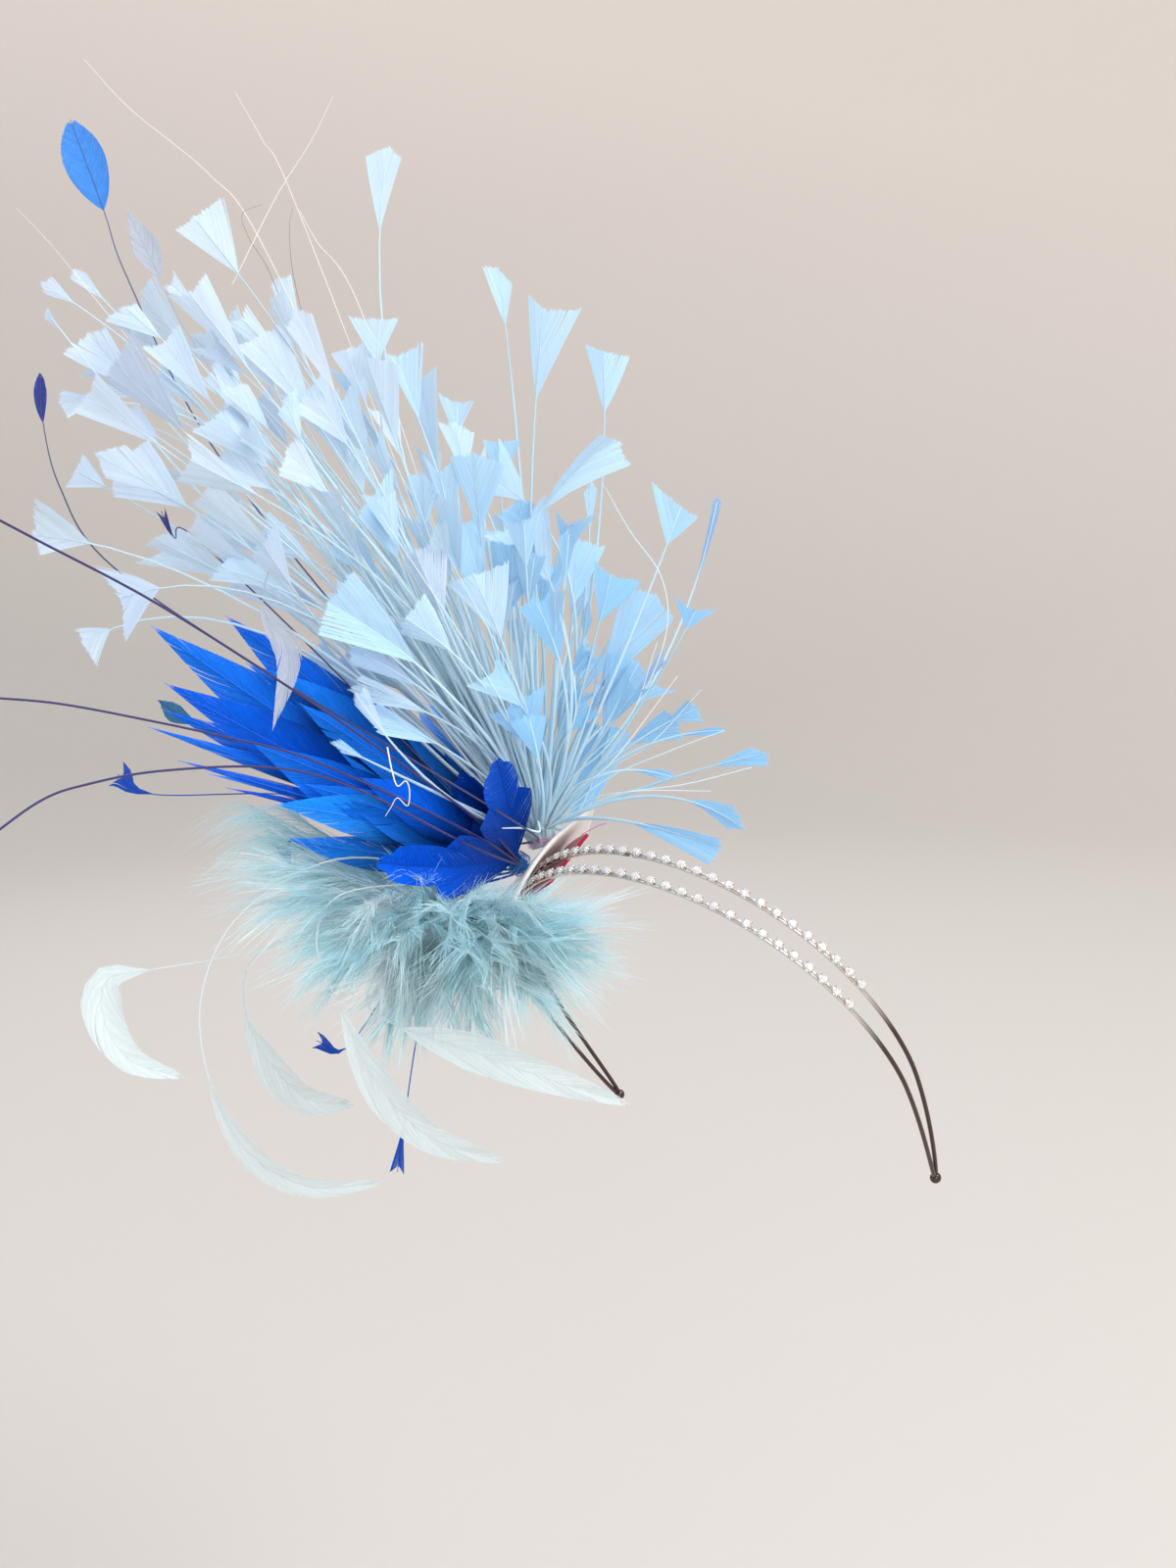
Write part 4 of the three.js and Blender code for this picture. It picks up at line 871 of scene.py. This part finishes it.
# %% Down
PUFF = {"away": 2, "wide": -24, "lift": 7, "along": 19, "forward": 13, "out": 11, "drop": 4}
LOCKS = columns("across rise toward radius deep count reach droop", [
    (-106, 14, -14, 9, 10, 7, 22, 0.75), (-98, -4, 0, 11, 14, 11, 22, 0.4),
    (-84, -24, 6, 12, 16, 13, 20, 0.25), (-66, -38, 10, 12, 14, 13, 19, 0.15),
    (-46, -40, 20, 10, 8, 11, 19, 0.1), (-24, -34, 26, 9, 6, 11, 24, 0.04),
    (-16, -22, 20, 7, 6, 8, 24, 0.0), (-66, -14, 26, 13, 6, 10, 18, 0.3),
    (-38, -16, 10, 8, 5, 8, 16, 0.15), (-74, -12, -58, 24, 18, 12, 20, 0.2),
    (-48, 2, -84, 18, 10, 8, 20, 0.2), (-44, -20, 40, 12, 6, 8, 18, 0.05),
    (-24, -16, 36, 9, 6, 7, 16, 0.0),
])
BARB = {"count": 64, "width": 0.2}
AQUA = paint("C4F2FC")
PALE_AQUA = paint("F4FDFF")


def lock_paths():
    """Plumes from the pad to a ring of tips round each lock's place, numbered from 900 + 50 lock."""
    number, row = drawn_out(LOCKS, 900, 50)
    way = 2 * np.pi * (number % 50 + chance(number, 0)) / row["count"]
    reach = row["radius"] * (0.35 + 0.6 * chance(number, 1))
    rise = row["rise"] + reach * np.sin(way)
    tip = on_sight(row["across"] + reach * np.cos(way), rise,
                   row["toward"] + row["deep"] * spread(number, 2) - 16 * np.clip((rise + 10) / 20, 0, 1))
    middle = pad_place(PUFF["away"], PUFF["wide"], PUFF["lift"])
    outward = unit(tip - middle)
    forwards = -BAND_DEPTH
    root = middle + 0.5 * (PAD_AWAY * PUFF["along"] * (outward @ PAD_AWAY)[:, None]
                           + forwards * PUFF["forward"] * (outward @ forwards)[:, None]
                           + PAD_OUT * PUFF["out"] * (outward @ PAD_OUT)[:, None])
    control = root + (tip - root) * 0.55 + PAD_OUT * PUFF["drop"]
    return bent(root, control, tip, 24), number, row


def down(paths, number, barbs, reach, tint, width, droop):
    """Loose barbs on both sides of each plume. A barb leaves the rachis at x0 and runs as size (m way +
    0.4 m^2 along - droop m^2 z + curl m^2 up), where way leans out by the slant. Slant, size and curl swing
    slowly along the plume, sin(a x0 + b), so that neighbours float together."""
    along = unit(np.gradient(paths, axis=1))
    sign = np.array([-1, 1])[:, None]
    plume = number[:, None, None]
    key = plume * 3.7 + sign * 61.3 + np.arange(barbs) * 1.13
    x0 = 0.14 + 0.84 * np.arange(barbs) / barbs + 0 * key
    base = at(paths, x0)
    forward = unit(at(along, x0))
    roll = np.pi * spread(plume, 47)[..., None]
    guide = unit(np.cross(forward, NEAR))
    up = np.cross(guide, forward) * np.cos(roll) + guide * np.sin(roll)
    side = np.cross(forward, up) * sign[..., None]
    wave = np.sin(9 * x0 + 7 * sign + 6.3 * chance(plume, 48))
    slow = np.sin(17 * x0 + 3 * sign + 6.3 * chance(plume, 49))
    slant = np.radians(27 + 9 * wave + 6 * spread(key, 42))[..., None]
    raise_up = (0.25 * slow + 0.18 * spread(key, 44))[..., None]
    way = unit(forward * np.cos(slant) + side * np.sin(slant) + up * raise_up)
    size = reach[:, None, None] * (0.75 + 0.2 * slow + 0.25 * spread(key, 43)) * (
        0.55 + 1.5 * x0 - 1.3 * x0 ** 2)
    droop = droop[:, None, None, None, None]
    curl = (0.3 * wave + 0.12 * spread(key, 50))[..., None, None]
    m = np.array([0, 0.3, 0.6, 0.85, 1])[:, None]
    line = base[..., None, :] + size[..., None, None] * (
        m * way[..., None, :] + 0.4 * m ** 2 * forward[..., None, :] - droop * m ** 2 * np.array([0, 0, 1.0])
        + m ** 2 * curl * up[..., None, :])
    breadth = unit(np.cross(way, up))[..., None, :]
    taper = width / 2 * np.array([1, 0.85, 0.6, 0.4])[:, None]
    strips = len(number) * 2 * barbs
    body = line[..., :-1, :]
    left = (body - breadth * taper).reshape(strips, 4, 3)
    right = (body + breadth * taper).reshape(strips, 4, 3)
    lift = np.broadcast_to(np.cross(breadth, way[..., None, :]), body.shape).reshape(strips, 4, 3)
    tone = (1 + 0.06 * spread(key, 45) + 0.05 * wave)[..., None, None]
    # each barb is painted darker at its base and lighter at its tip: painted shade in the dense middle of the
    # puff, painted light at the ends
    shade = tint[:, None, None, None] * tone * np.linspace(0.94, 1.12, 5)[:, None]
    return ribbons(left, right, lift, np.full((strips, 4), 0.07), line[..., -1, :].reshape(strips, 3),
                   shade.reshape(strips, 5, 3), 50 * chance(key, 46).reshape(strips))


lock_line, lock_number, lock_row = lock_paths()
lock_tint = AQUA + (PALE_AQUA - AQUA) * (chance(lock_number, 34) ** 1.5)[:, None]
MIDDLE_LOCK = 1200
in_left = lock_number < MIDDLE_LOCK
for name, chosen in (("marabou_left", in_left), ("marabou_right", ~in_left)):
    line, number, tint = lock_line[chosen], lock_number[chosen], lock_tint[chosen]
    reach, droop = (lock_row[key][chosen] for key in ("reach", "droop"))
    barbs = down(line, number, BARB["count"], reach, tint, BARB["width"], droop)
    rachis = stems(line, 0.3, 0.1, tint, samples=8, sides=4)
    piece(name, [barbs, rachis], DOWN_FINISH, ["marabou_puff"])

# %% [markdown]
# ## Single feathers
# A few feathers stand apart: long pale ones that curl down in front, thin dark quills, and small cut tips.
# Each follows its own line, given as points on the viewing plane with a depth, root first.

# %% Lines of the single feathers
# kind of vane, width, roll, the point where the vane starts, and the points as across, rise, toward
SINGLES = {
    "drop_feather_1": ("curl", 11, -10, 3, [(-45, -8, -12), (-67, -24, 2), (-76, -40, 12), (-66, -48, 20),
                                            (-48, -54, 30), (-26, -62, 42), (2, -71, 52)]),
    "drop_feather_2": ("curl", 11, 10, 3, [(-48, -6, -16), (-82, -8, 4), (-91, -22, 10), (-84, -42, 16),
                                           (-74, -63, 20), (-58, -80, 28), (-35, -88, 34)]),
    "drop_feather_3": ("curl", 8, 15, 4, [(-49, -3, -20), (-84, 2, -4), (-113, -14, 8), (-125, -38, 12),
                                          (-123, -63, 14), (-112, -84, 17), (-94, -95, 20), (-71, -94, 24)]),
    "drop_feather_4": ("curl", 12, -20, 3, [(-50, -4, -24), (-84, -16, -14), (-112, -26, -8), (-140, -31, -4),
                                            (-153, -34, 0), (-154, -46, 4), (-146, -58, 8), (-130, -63, 10)]),
    "drop_feather_5": ("curl", 13, 25, 3, [(-50, -8, -28), (-88, -18, -26), (-110, -28, -24), (-112, -44, -20),
                                           (-105, -58, -16), (-94, -69, -12), (-80, -71, -8)]),
    "quill_1": ("quill", 1, 0, 0, [(-44, 14, 4), (-73, 35, 24), (-101, 54, 42), (-139, 78, 66), (-173, 96, 88),
                                   (-192, 106, 100)]),
    "quill_2": ("quill", 1, 0, 0, [(-46, 10, 8), (-92, 31, 26), (-118, 38, 38), (-141, 43, 50), (-168, 48, 64),
                                   (-192, 50, 76)]),
    "quill_3": ("quill", 1, 0, 0, [(-46, 6, 12), (-80, 23, 22), (-105, 29, 30), (-137, 28, 44), (-159, 24, 56),
                                   (-173, 19, 64), (-191, 6, 76)]),
    "spade_feather": ("spade", 13, 5, 4, [(-30, 16, -40), (-80, 70, -34), (-123, 126, -28), (-147, 174, -22),
                                          (-154, 194, -18), (-164, 221, -14)]),
    "navy_tip": ("spade", 4, 0, 4, [(-34, 14, 2), (-110, 60, 0), (-153, 90, 4), (-167, 112, 6), (-172, 131, 6),
                                    (-173, 146, 6)]),
    "teal_tip": ("blade", 6, 0, 2, [(-44, 8, -34), (-90, 34, -36), (-126, 42, -34), (-138, 49, -34)]),
    "royal_arrow_1": ("fan", 9, 0, 2, [(-44, 4, -44), (-90, 20, -46), (-139, 21, -40), (-150, 27, -38)]),
    "royal_arrow_2": ("fan", 6, 20, 2, [(-54, -8, -34), (-66, -30, -44), (-82, -54, -44), (-91, -52, -44)]),
    "royal_arrow_3": ("fan", 5, 20, 2, [(-52, -12, -30), (-60, -44, -34), (-65, -76, -30), (-67, -91, -28)]),
    "grey_leaf": ("blade", 8, 10, 3, [(-36, 18, -6), (-70, 62, 8), (-98, 92, 16), (-107, 78, 18),
                                      (-99, 62, 18), (-104, 40, 18)]),
    "grey_tip": ("blade", 8, 0, 3, [(-28, 18, -30), (-90, 100, -20), (-128, 156, -14), (-137, 174, -10),
                                    (-147, 194, -8)]),
}
WHITE_AQUA = paint("E0ECEF")
SINGLE_ROOTS = {"quill": "royal", "royal": "royal", "teal": "royal", "navy": "sky", "spade": "sky",
                "grey": "sky"}
SINGLE_LOOKS = {
    "drop": (PALE_FINISH, WHITE_AQUA, "pale_feather", 44),
    "quill": (DARK_FINISH, paint("3C396C"), "quill", 0),
    "spade": (ROYAL_FINISH, paint("4A90EA"), "royal_feather", 30),
    "navy": (DARK_FINISH, paint("1E3488"), "navy_feather", 14),
    "teal": (DARK_FINISH, paint("2F6F9C"), "navy_feather", 14),
    "royal": (ROYAL_FINISH, paint("2450B8"), "royal_feather", 10),
    "grey": (PALE_FINISH, paint("C3CEDF"), "grey_feather", 18),
}
DARK_STEMS = {"spade": paint("5C6396"), "navy": paint("4A4872"), "teal": paint("4A4872")}
SINGLE_STEM = {"root": 0.42, "tip": 0.12, "quill_tip": 0.34}


def single(name, kind, width, roll, web, line, stands_for=True):
    """One feather on its own line, with a stem and, but for a quill, a vane from the point web onwards."""
    kin = name.split("_")[0]
    finish, tint, slot, barbs = SINGLE_LOOKS[kin]
    places = on_sight(*np.array(line, float).T)
    if kin in SINGLE_ROOTS:
        head = HEADS[SINGLE_ROOTS[kin]]
        foot, axis = head_frame(head)
        root = foot + axis + (root_in(head, places[1:2], np.array([width]))[0] - foot - axis * 5) * 0.5
    else:
        root = pad_place(PUFF["away"] - 6, PUFF["wide"] + 8, 1)
    places = np.concatenate([[root], places])
    paths = through(places, 80)[None]
    thin = SINGLE_STEM["quill_tip" if kin == "quill" else "tip"]
    parts = [stems(paths, SINGLE_STEM["root"], thin, DARK_STEMS.get(kin, tint)[None], samples=60, sides=6)]
    if barbs:
        web = web + 1 if web else 0
        number = np.array([1200.0 + len(line) * 7 + 13 * len(name) + width])
        start = np.array([web / (len(places) - 1)])
        face = rolled_face((places[-1] - places[web])[None], np.array([roll]))
        cut = {"left": np.ones(1), "right": np.ones(1), "notch": np.full(1, 2.0)}
        parts.append(vane(paths, face, start, np.array([width]), kind, number, tint[None], barbs=barbs,
                          cut=cut, sweep=0.42, cup=0.2, split=0.0 if kind == "spade" else 0.1, ragged=0.4,
                          fold=0.12 if kind == "curl" else 0, steps=(0, 0.2, 0.4, 0.6, 0.8, 0.97)))
    piece(name + "_dressed", parts, finish, [name] if stands_for else [])


for name, row in SINGLES.items():
    single(name, *row)

# two small cut tips that the solids leave out
TIPS = {
    "navy_scrap": ("fan", 3, 0, 3, [(-40, 12, -20), (-90, 62, -6), (-128, 98, -2), (-133, 97, 0),
                                    (-137, 105, 2)]),
    "royal_scrap": ("fan", 6, 20, 2, [(-52, -2, -34), (-78, 4, -40), (-97, -1, -34), (-101, 7, -32)]),
}
for name, row in TIPS.items():
    single(name, *row, stands_for=False)

# %% [markdown]
# ## Bare strands and thread
# Between the fans stand a few stripped strands without any web, some fine brown hairs, and one stem that was
# cut short and curls back over the royal blades. Pink thread binds the stems of the spray where they meet the
# pad, and dusty blue thread those of the blades. All of them are thin rods along smooth lines, and the thread
# is a helix round the bound head's own axis.

# %% Strands
STRAND_FINISH = feather_finish("strand_finish", 0.5, 0.1, 1.0, 0.1)
STRAND_WHITE = paint("F2F5F8")
HAIR_BROWN = paint("8A8078")
# radius, tint, whether it starts at the head of the spray, and its points as across, rise, toward
STRANDS = [
    (0.16, STRAND_WHITE, True, [(-107, 184, -20), (-123, 205, -18), (-146, 224, -16), (-160, 239, -16)]),
    (0.14, STRAND_WHITE, True, [(-98, 198, -10), (-107, 215, -8), (-115, 229, -6)]),
    (0.12, STRAND_WHITE, False, [(-116, 172, 2), (-103, 198, 4), (-93, 214, 6), (-86, 228, 8)]),
    (0.12, STRAND_WHITE, True, [(-150, 160, -30), (-168, 182, -30), (-180, 195, -30)]),
    (0.15, STRAND_WHITE, True, [(-78, 165, -12), (-91, 185, -12), (-96, 194, -12)]),
    (0.2, STEM_SKY, True, [(-5, 35, -4), (7, 53, 4), (13, 71, 8), (11, 86, 8), (2, 99, 4), (-6, 113, 0)]),
    (0.1, HAIR_BROWN, False, [(-98, 158, -6), (-105, 176, -4), (-111, 186, -4), (-113, 193, -3),
                              (-107, 196, -2)]),
    (0.1, HAIR_BROWN, False, [(-94, 158, -8), (-98, 176, -8), (-99, 189, -7), (-98, 195, -6)]),
    (0.2, STRAND_WHITE, False, [(-70, 35, 24), (-68.6, 28, 24), (-67, 23.5, 24), (-64.5, 25, 25),
                                (-63.4, 22, 25), (-64, 17.6, 25), (-67, 20, 24), (-69, 17, 24),
                                (-70.6, 14.5, 23)]),
    (0.45, STEM_SKY, True, [(-25, 10, -6), (-30, 11, -4), (-36, 11, -2)]),
    (0.22, STEM_SKY, True, [(14, 34, -14), (30, 40, -10)]),
    (0.2, STEM_SKY, True, [(8, 36, -22), (23, 52, -18)]),
    (0.24, STEM_SKY, True, [(18, 24, -8), (38, 29, -4)]),
    (0.22, STEM_SKY, True, [(2, 44, 2), (10, 66, 6)]),
    (0.26, STEM_SKY, True, [(-14, 48, 8), (-20, 80, 16)]),
    (0.24, STEM_SKY, True, [(-30, 50, 10), (-52, 92, 24)]),
    (0.28, STEM_SKY, True, [(-38, 52, 12), (-72, 104, 26)]),
    (0.2, STRAND_WHITE, True, [(-4, 30, 6), (16, 56, 12)]),
    (0.18, STRAND_WHITE, True, [(-6, 44, -40), (4, 74, -48)]),
    (0.2, STEM_SKY, True, [(4, 22, 0), (26, 22, 4)]),
]


def strand(radius, tint, rooted, line):
    """A rod along a smooth line, which thins out from 1.2 radius to half the radius."""
    places = on_sight(*np.array(line, float).T)
    if rooted:
        root = root_in(HEADS["sky"], places[:1], np.array([len(line) + radius]))
        middle = root + (places[:1] - root) * 0.5 + head_frame(HEADS["sky"])[1] * 3
        places = np.concatenate([root, middle, places])
    path = through(places, 60)[None]
    return rods(path, radius * np.linspace(1.2, 0.5, 60)[None], tint, sides=5)


piece("bare_strands", [strand(*row) for row in STRANDS], STRAND_FINISH, [])


# %% Thread
def winding(head, first, last, turns, radius, thread, tint):
    """A helix round the head's axis: radius (side cos a + wide sin a) while the height goes up."""
    foot, axis = head_frame(head)
    side = unit(np.cross(axis, (0, 0, 1)))
    wide = np.cross(axis, side)
    share = np.linspace(0, 1, 24 * turns)
    angle = (2 * np.pi * turns * share)[:, None]
    height = first + (last - first) * share
    path = foot + axis * height[:, None] + radius * (side * np.cos(angle) + wide * np.sin(angle))
    return rods(path[None], np.full((1, len(share)), thread), tint, sides=5)


PINK = paint("F08CC0")
DUSTY_BLUE = paint("2E6FA8")
LOOSE_END = [(-12.5, 9, -24), (-8, 11.5, -20), (-5, 12.5, -18)]
loose_end = through(on_sight(*np.array(LOOSE_END).T), 20)
piece("pink_thread", [winding(HEADS["sky"], 0.8, 3.2, 3, 4.6, 0.13, PINK),
                      winding(HEADS["royal"], 1.0, 4.5, 6, 3.6, 0.16, DUSTY_BLUE),
                      rods(loose_end[None], np.full((1, 20), 0.16), PINK, sides=5)],
      STRAND_FINISH, [])

# %% [markdown]
# ## The wire band
# Two springy silver wires run over the crown side by side and are soldered together at both ends. Each is a
# round rod along a curve, so it is a ring carried along the band's formula, with a small ball at each end
# that keeps it from scratching.

# %% Wires and end balls


def metal_finish(name, tone, rough):
    """A bright metal whose roughness varies a little, like drawn wire that has been handled. Without a tone
    it takes its colour from the tint."""
    finish, tree, shader = new_finish(name)
    noise = object_noise(tree, 600)
    gloss = new_node(tree, "MapRange", {"Value": noise.outputs["Fac"], "To Min": rough, "To Max": rough + 0.2})
    tint = new_node(tree, "Attribute", attribute_name="tint")
    colour = (*paint(tone), 1) if tone else tint.outputs["Color"]
    feed(tree, shader, {"Base Color": colour, "Roughness": gloss.outputs[0], "Metallic": 1})
    return finish


WIRE_FINISH = metal_finish("silver_wire_finish", None, 0.12)


def closed_part(points, tint, smooth=False):
    """A grid (rows, sides, 3) that goes round in its second direction, with a fan on each end."""
    ends = np.stack([points[0].mean(0), points[-1].mean(0)])
    corners = np.concatenate([points.reshape(-1, 3), ends])
    return part(corners, *tube_faces(*points.shape[:2]), tint, np.zeros(3), smooth)


def ball(middle, radius, tint, rows=9, sides=16):
    """A sphere: radius (sin a cos b, sin a sin b, cos a), its poles closed."""
    a = np.linspace(np.pi * 0.98, np.pi * 0.02, rows)[:, None]
    b = np.linspace(0, 2 * np.pi, sides, endpoint=False)
    shape = np.stack([np.sin(a) * np.cos(b), np.sin(a) * np.sin(b), np.cos(a) + 0 * b], -1)
    return closed_part(middle + radius * shape, tint, smooth=True)


SILVER = paint("DEDAD6")
PAINTED_DARK_REFLECTION = paint("5A4C48")
WIRE_STEPS = 140
wire_share = np.linspace(0, 1, WIRE_STEPS)
wires = np.stack([wire_place(wire_share, side) for side in (-1, 1)])
# the legs are painted dark towards the ends: a painted reflection of the dark surroundings in the silver
painted_reflection_share = np.clip((np.abs(wire_share - 0.5) - 0.255) / 0.04, 0, 1)[:, None]
wire_tint = np.broadcast_to(SILVER + (PAINTED_DARK_REFLECTION - SILVER) * painted_reflection_share, (2, WIRE_STEPS, 3))
wire_rods = rods(wires, np.full(wires.shape[:2], BAND["wire"] / 2), wire_tint, sides=14)
# the end balls carry the same painted dark reflection
balls = [ball(band_place(end)[0], BAND["tip_ball"] / 2, PAINTED_DARK_REFLECTION) for end in (0.0, 1.0)]
piece("silver_headband", [wire_rods, *balls], WIRE_FINISH, ["headband"])

# %% [markdown]
# ## Chains of cut stones
# A cup chain is a row of little round cups joined by links. Each cup holds a stone under four bent claws. The
# stone is cut with a flat table, eight crown facets, a girdle and a pointed pavilion that throws the light
# back. One cup and one stone are worked out once, and then all of them are placed with arrays of axes.

# %% Cups, claws, links and stones
CROWN = {"wall": 1.0, "crown": 1.6}
stone_count = int((ROW["last"] - ROW["first"]) * BAND_LENGTH / ROW["pitch"])


def row_frames(side):
    """The place, the way along, the way across and the way out at each cup of a row."""
    share = np.linspace(ROW["first"], ROW["last"], stone_count + 1)
    out = band_place(share)[1]
    along = unit(wire_place(share + 0.002, side) - wire_place(share - 0.002, side))
    return wire_place(share, side), along, unit(np.cross(out, along)), out


def placed(shape, frames):
    """A small shape (rows, sides, 3), given along, across and out, at every cup: (cups, rows, sides, 3)."""
    place, along, wide, out = (v[:, None, None] for v in frames)
    return place + along * shape[..., :1] + wide * shape[..., 1:2] + out * shape[..., 2:]


def turned_profile(radii, heights, sides, start=0.0):
    """A profile turned round the cup's own axis."""
    angle = np.linspace(0, 2 * np.pi, sides, endpoint=False) + start
    radii, heights = np.array(radii)[:, None], np.array(heights)[:, None]
    return np.stack([radii * np.cos(angle), radii * np.sin(angle), heights + 0 * angle], -1)


def many(copies, tint, smooth=False):
    """Each placed copy (copies, rows, sides, 3) as a closed body."""
    return [closed_part(copy, tint, smooth) for copy in copies]


def cup_row(side):
    """Cups that widen from the foot to the rim and turn inwards, four claws on each, and links between."""
    frames = row_frames(side)
    seat, rim = ROW["seat"] - 0.15, ROW["seat"] + 0.75
    cup = turned_profile([1.0, 1.3, 1.5, 1.5, 1.15], [seat, seat + 0.1, rim - 0.2, rim, rim - 0.05], 16)
    parts = many(placed(cup, frames), SILVER, smooth=True)
    place, along, wide, out = frames
    for corner in range(4):
        angle = np.pi / 4 + corner * np.pi / 2
        way = along * np.cos(angle) + wide * np.sin(angle)
        claw = np.stack([place + way * reach + out * (ROW["seat"] + height) for reach, height in
                         ((1.5, 0.3), (1.6, 0.8), (1.5, 1.15), (1.22, 1.3), (1.02, 1.32))], 1)
        parts.append(rods(claw, np.full(claw.shape[:2], 0.24), SILVER, sides=6))
    middle = (place[1:] + place[:-1]) / 2
    lift = (out[1:] + out[:-1]) / 2 * (ROW["seat"] + 0.3)
    step = unit(place[1:] - place[:-1])
    link = np.stack([middle + lift + step * reach for reach in (-1.5, 0, 1.5)], 1)
    parts.append(rods(link, np.full(link.shape[:2], 0.34), SILVER, sides=8))
    return parts


def stone_row(side):
    """Stones with an eight-sided table, a crown that steps out to the girdle, and a pavilion below."""
    top, girdle = ROW["seat"] + CROWN["crown"], ROW["seat"] + CROWN["wall"]
    crown = turned_profile([0.3, 1.36], [ROW["seat"] + 0.15, girdle - 0.12], 16, np.pi / 16)
    upper = turned_profile([1.38, 1.38, 1.18, 0.84], [girdle - 0.12, girdle, girdle + 0.26, top], 8, np.pi / 8)
    star_ring = 2
    upper[star_ring] = turned_profile([1.18], [girdle + 0.26], 8)[0]
    shape = np.concatenate([crown[:, ::2], upper])
    return many(placed(shape, row_frames(side)), paint("F4F6FA"))


def crystal_finish():
    """Cut glass: partly clear and very smooth, with a high index, so that facets mirror dark and light."""
    finish, tree, shader = new_finish("crystal_finish")
    noise = object_noise(tree, 900, Detail=1)
    # the base colour is painted darker in small patches: painted dark reflections among the facets
    tone = new_node(tree, "MapRange", {"Value": noise.outputs["Fac"], "From Min": 0.35, "From Max": 0.65,
                                       "To Min": 0.8, "To Max": 1.0})
    feed(tree, shader, {"Base Color": tone.outputs[0], "Roughness": 0.03, "IOR": 2.0,
                        "Transmission Weight": 0.3})
    return finish


CUP_FINISH = metal_finish("cup_chain_finish", "DEDAD6", 0.08)
STONE_FINISH = crystal_finish()
for side, name in ((-1, "front"), (1, "rear")):
    piece(f"cups_{name}", cup_row(side), CUP_FINISH, [f"crystal_row_{name}"])
    piece(f"stones_{name}", stone_row(side), STONE_FINISH, [f"crystal_row_{name}"])
print("stones in a row:", stone_count + 1)

# %% [markdown]
# ## Pad and patch
# The feathers are sewn to a stiff off-white felt pad that bows with the band. A red felt patch under the
# wires holds the band against it. Both are sheets with two faces: a function of two shares gives the upper
# and the lower face, and the rim joins them.

# %% Felt


def felt_finish(name, tone, grain, weave):
    """Pressed felt: fine fibres as noise in the colour and the bump, and broad soft mottling."""
    finish, tree, shader = new_finish(name)
    fibres = object_noise(tree, weave, Detail=6, Roughness=0.7, Distortion=1.5)
    broad = object_noise(tree, weave / 12)
    low, high = paint(tone) * (1 - grain), np.minimum(paint(tone) * (1 + grain * 0.6), 1)
    colour = new_node(tree, "Mix", {0: fibres.outputs["Fac"], 6: (*low, 1), 7: (*high, 1)}, data_type="RGBA")
    height = new_node(tree, "Math", {0: fibres.outputs["Fac"], 1: broad.outputs["Fac"]}, operation="ADD")
    bump = new_node(tree, "Bump", {"Height": height.outputs[0], "Strength": 0.5, "Distance": 0.0004})
    feed(tree, shader, {"Base Color": colour.outputs[2], "Normal": bump.outputs[0], "Roughness": 0.92,
                        "Sheen Weight": 0.4, "Specular IOR Level": 0.2})
    return finish


def slab(surface, across_steps, along_steps):
    """A closed slab: the upper face surface(u, v, 1), the lower one surface(u, v, 0), and a rim between."""
    u, v = np.meshgrid(np.linspace(0, 1, across_steps), np.linspace(0, 1, along_steps), indexing="ij")
    loop = np.concatenate([surface(u, v, 0.0), surface(u, v, 1.0)[:, ::-1]], 1)
    sides = loop.shape[1]
    k, _, quads = wrapped(*loop.shape[:2])
    j = np.arange(along_steps - 1)
    first = np.stack([k[0, j], k[0, sides - 1 - j], k[0, sides - 2 - j], k[0, j + 1]], -1)
    last = np.stack([k[-1, j], k[-1, j + 1], k[-1, sides - 2 - j], k[-1, sides - 1 - j]], -1)
    quads = np.concatenate([quads, first, last])
    points = loop.reshape(-1, 3)
    corner = points[quads[0]]
    outward = corner.mean(0) - points.mean(0)
    if np.cross(corner[1] - corner[0], corner[2] - corner[0]) @ outward < 0:
        quads = quads[:, ::-1]
    return part(points, quads, np.zeros((0, 3), int), np.ones(3), np.zeros(3), smooth=True)


def pad_surface(u, v, side):
    """The bowed pad: lift = (side - 1/2) thickness - wide^2 / (2 bow) - curl v (wide / half width)^2."""
    wide = PAD["half_width"] * (2 * u - 1)
    round_end = np.sqrt(1 - 0.6 * (2 * u - 1) ** 4)
    away = PAD["near"] + (PAD["far"] - PAD["near"]) * round_end * v
    curl = PAD["curl"] * v * (np.maximum(wide, 0) / PAD["half_width"]) ** 2
    edge = np.minimum(np.minimum(u, 1 - u) * 30, np.minimum(v, 1 - v) * 26)
    round_edge = np.sqrt(np.clip(1 - (1 - np.clip(edge, 0, 1)) ** 2, 0.15, 1))
    bow = wide ** 2 / (2 * PAD["bow"])
    return pad_place(away, wide, (side - 0.5) * PAD["thick"] * round_edge - bow - curl)


def patch_surface(u, v, side):
    """The patch follows the arch of the band: away^2 / (2 radius) below the pad."""
    wide = PATCH["low"] + (PATCH["high"] - PATCH["low"]) * u
    away = PATCH["near"] + (PATCH["far"] - PATCH["near"]) * v
    arch = away ** 2 / (2 * BAND["radius"])
    return pad_place(away, wide, (side - 1) * PATCH["thick"] - PATCH["drop"] - arch)


WEAVE = 700
piece("felt_pad", [slab(pad_surface, 61, 53)], felt_finish("pad_felt_finish", "F2EEEA", 0.1, WEAVE),
      ["base_pad"])
piece("red_felt_patch", [slab(patch_surface, 31, 31)], felt_finish("red_felt_finish", "B31541", 0.3, WEAVE),
      ["red_patch"])
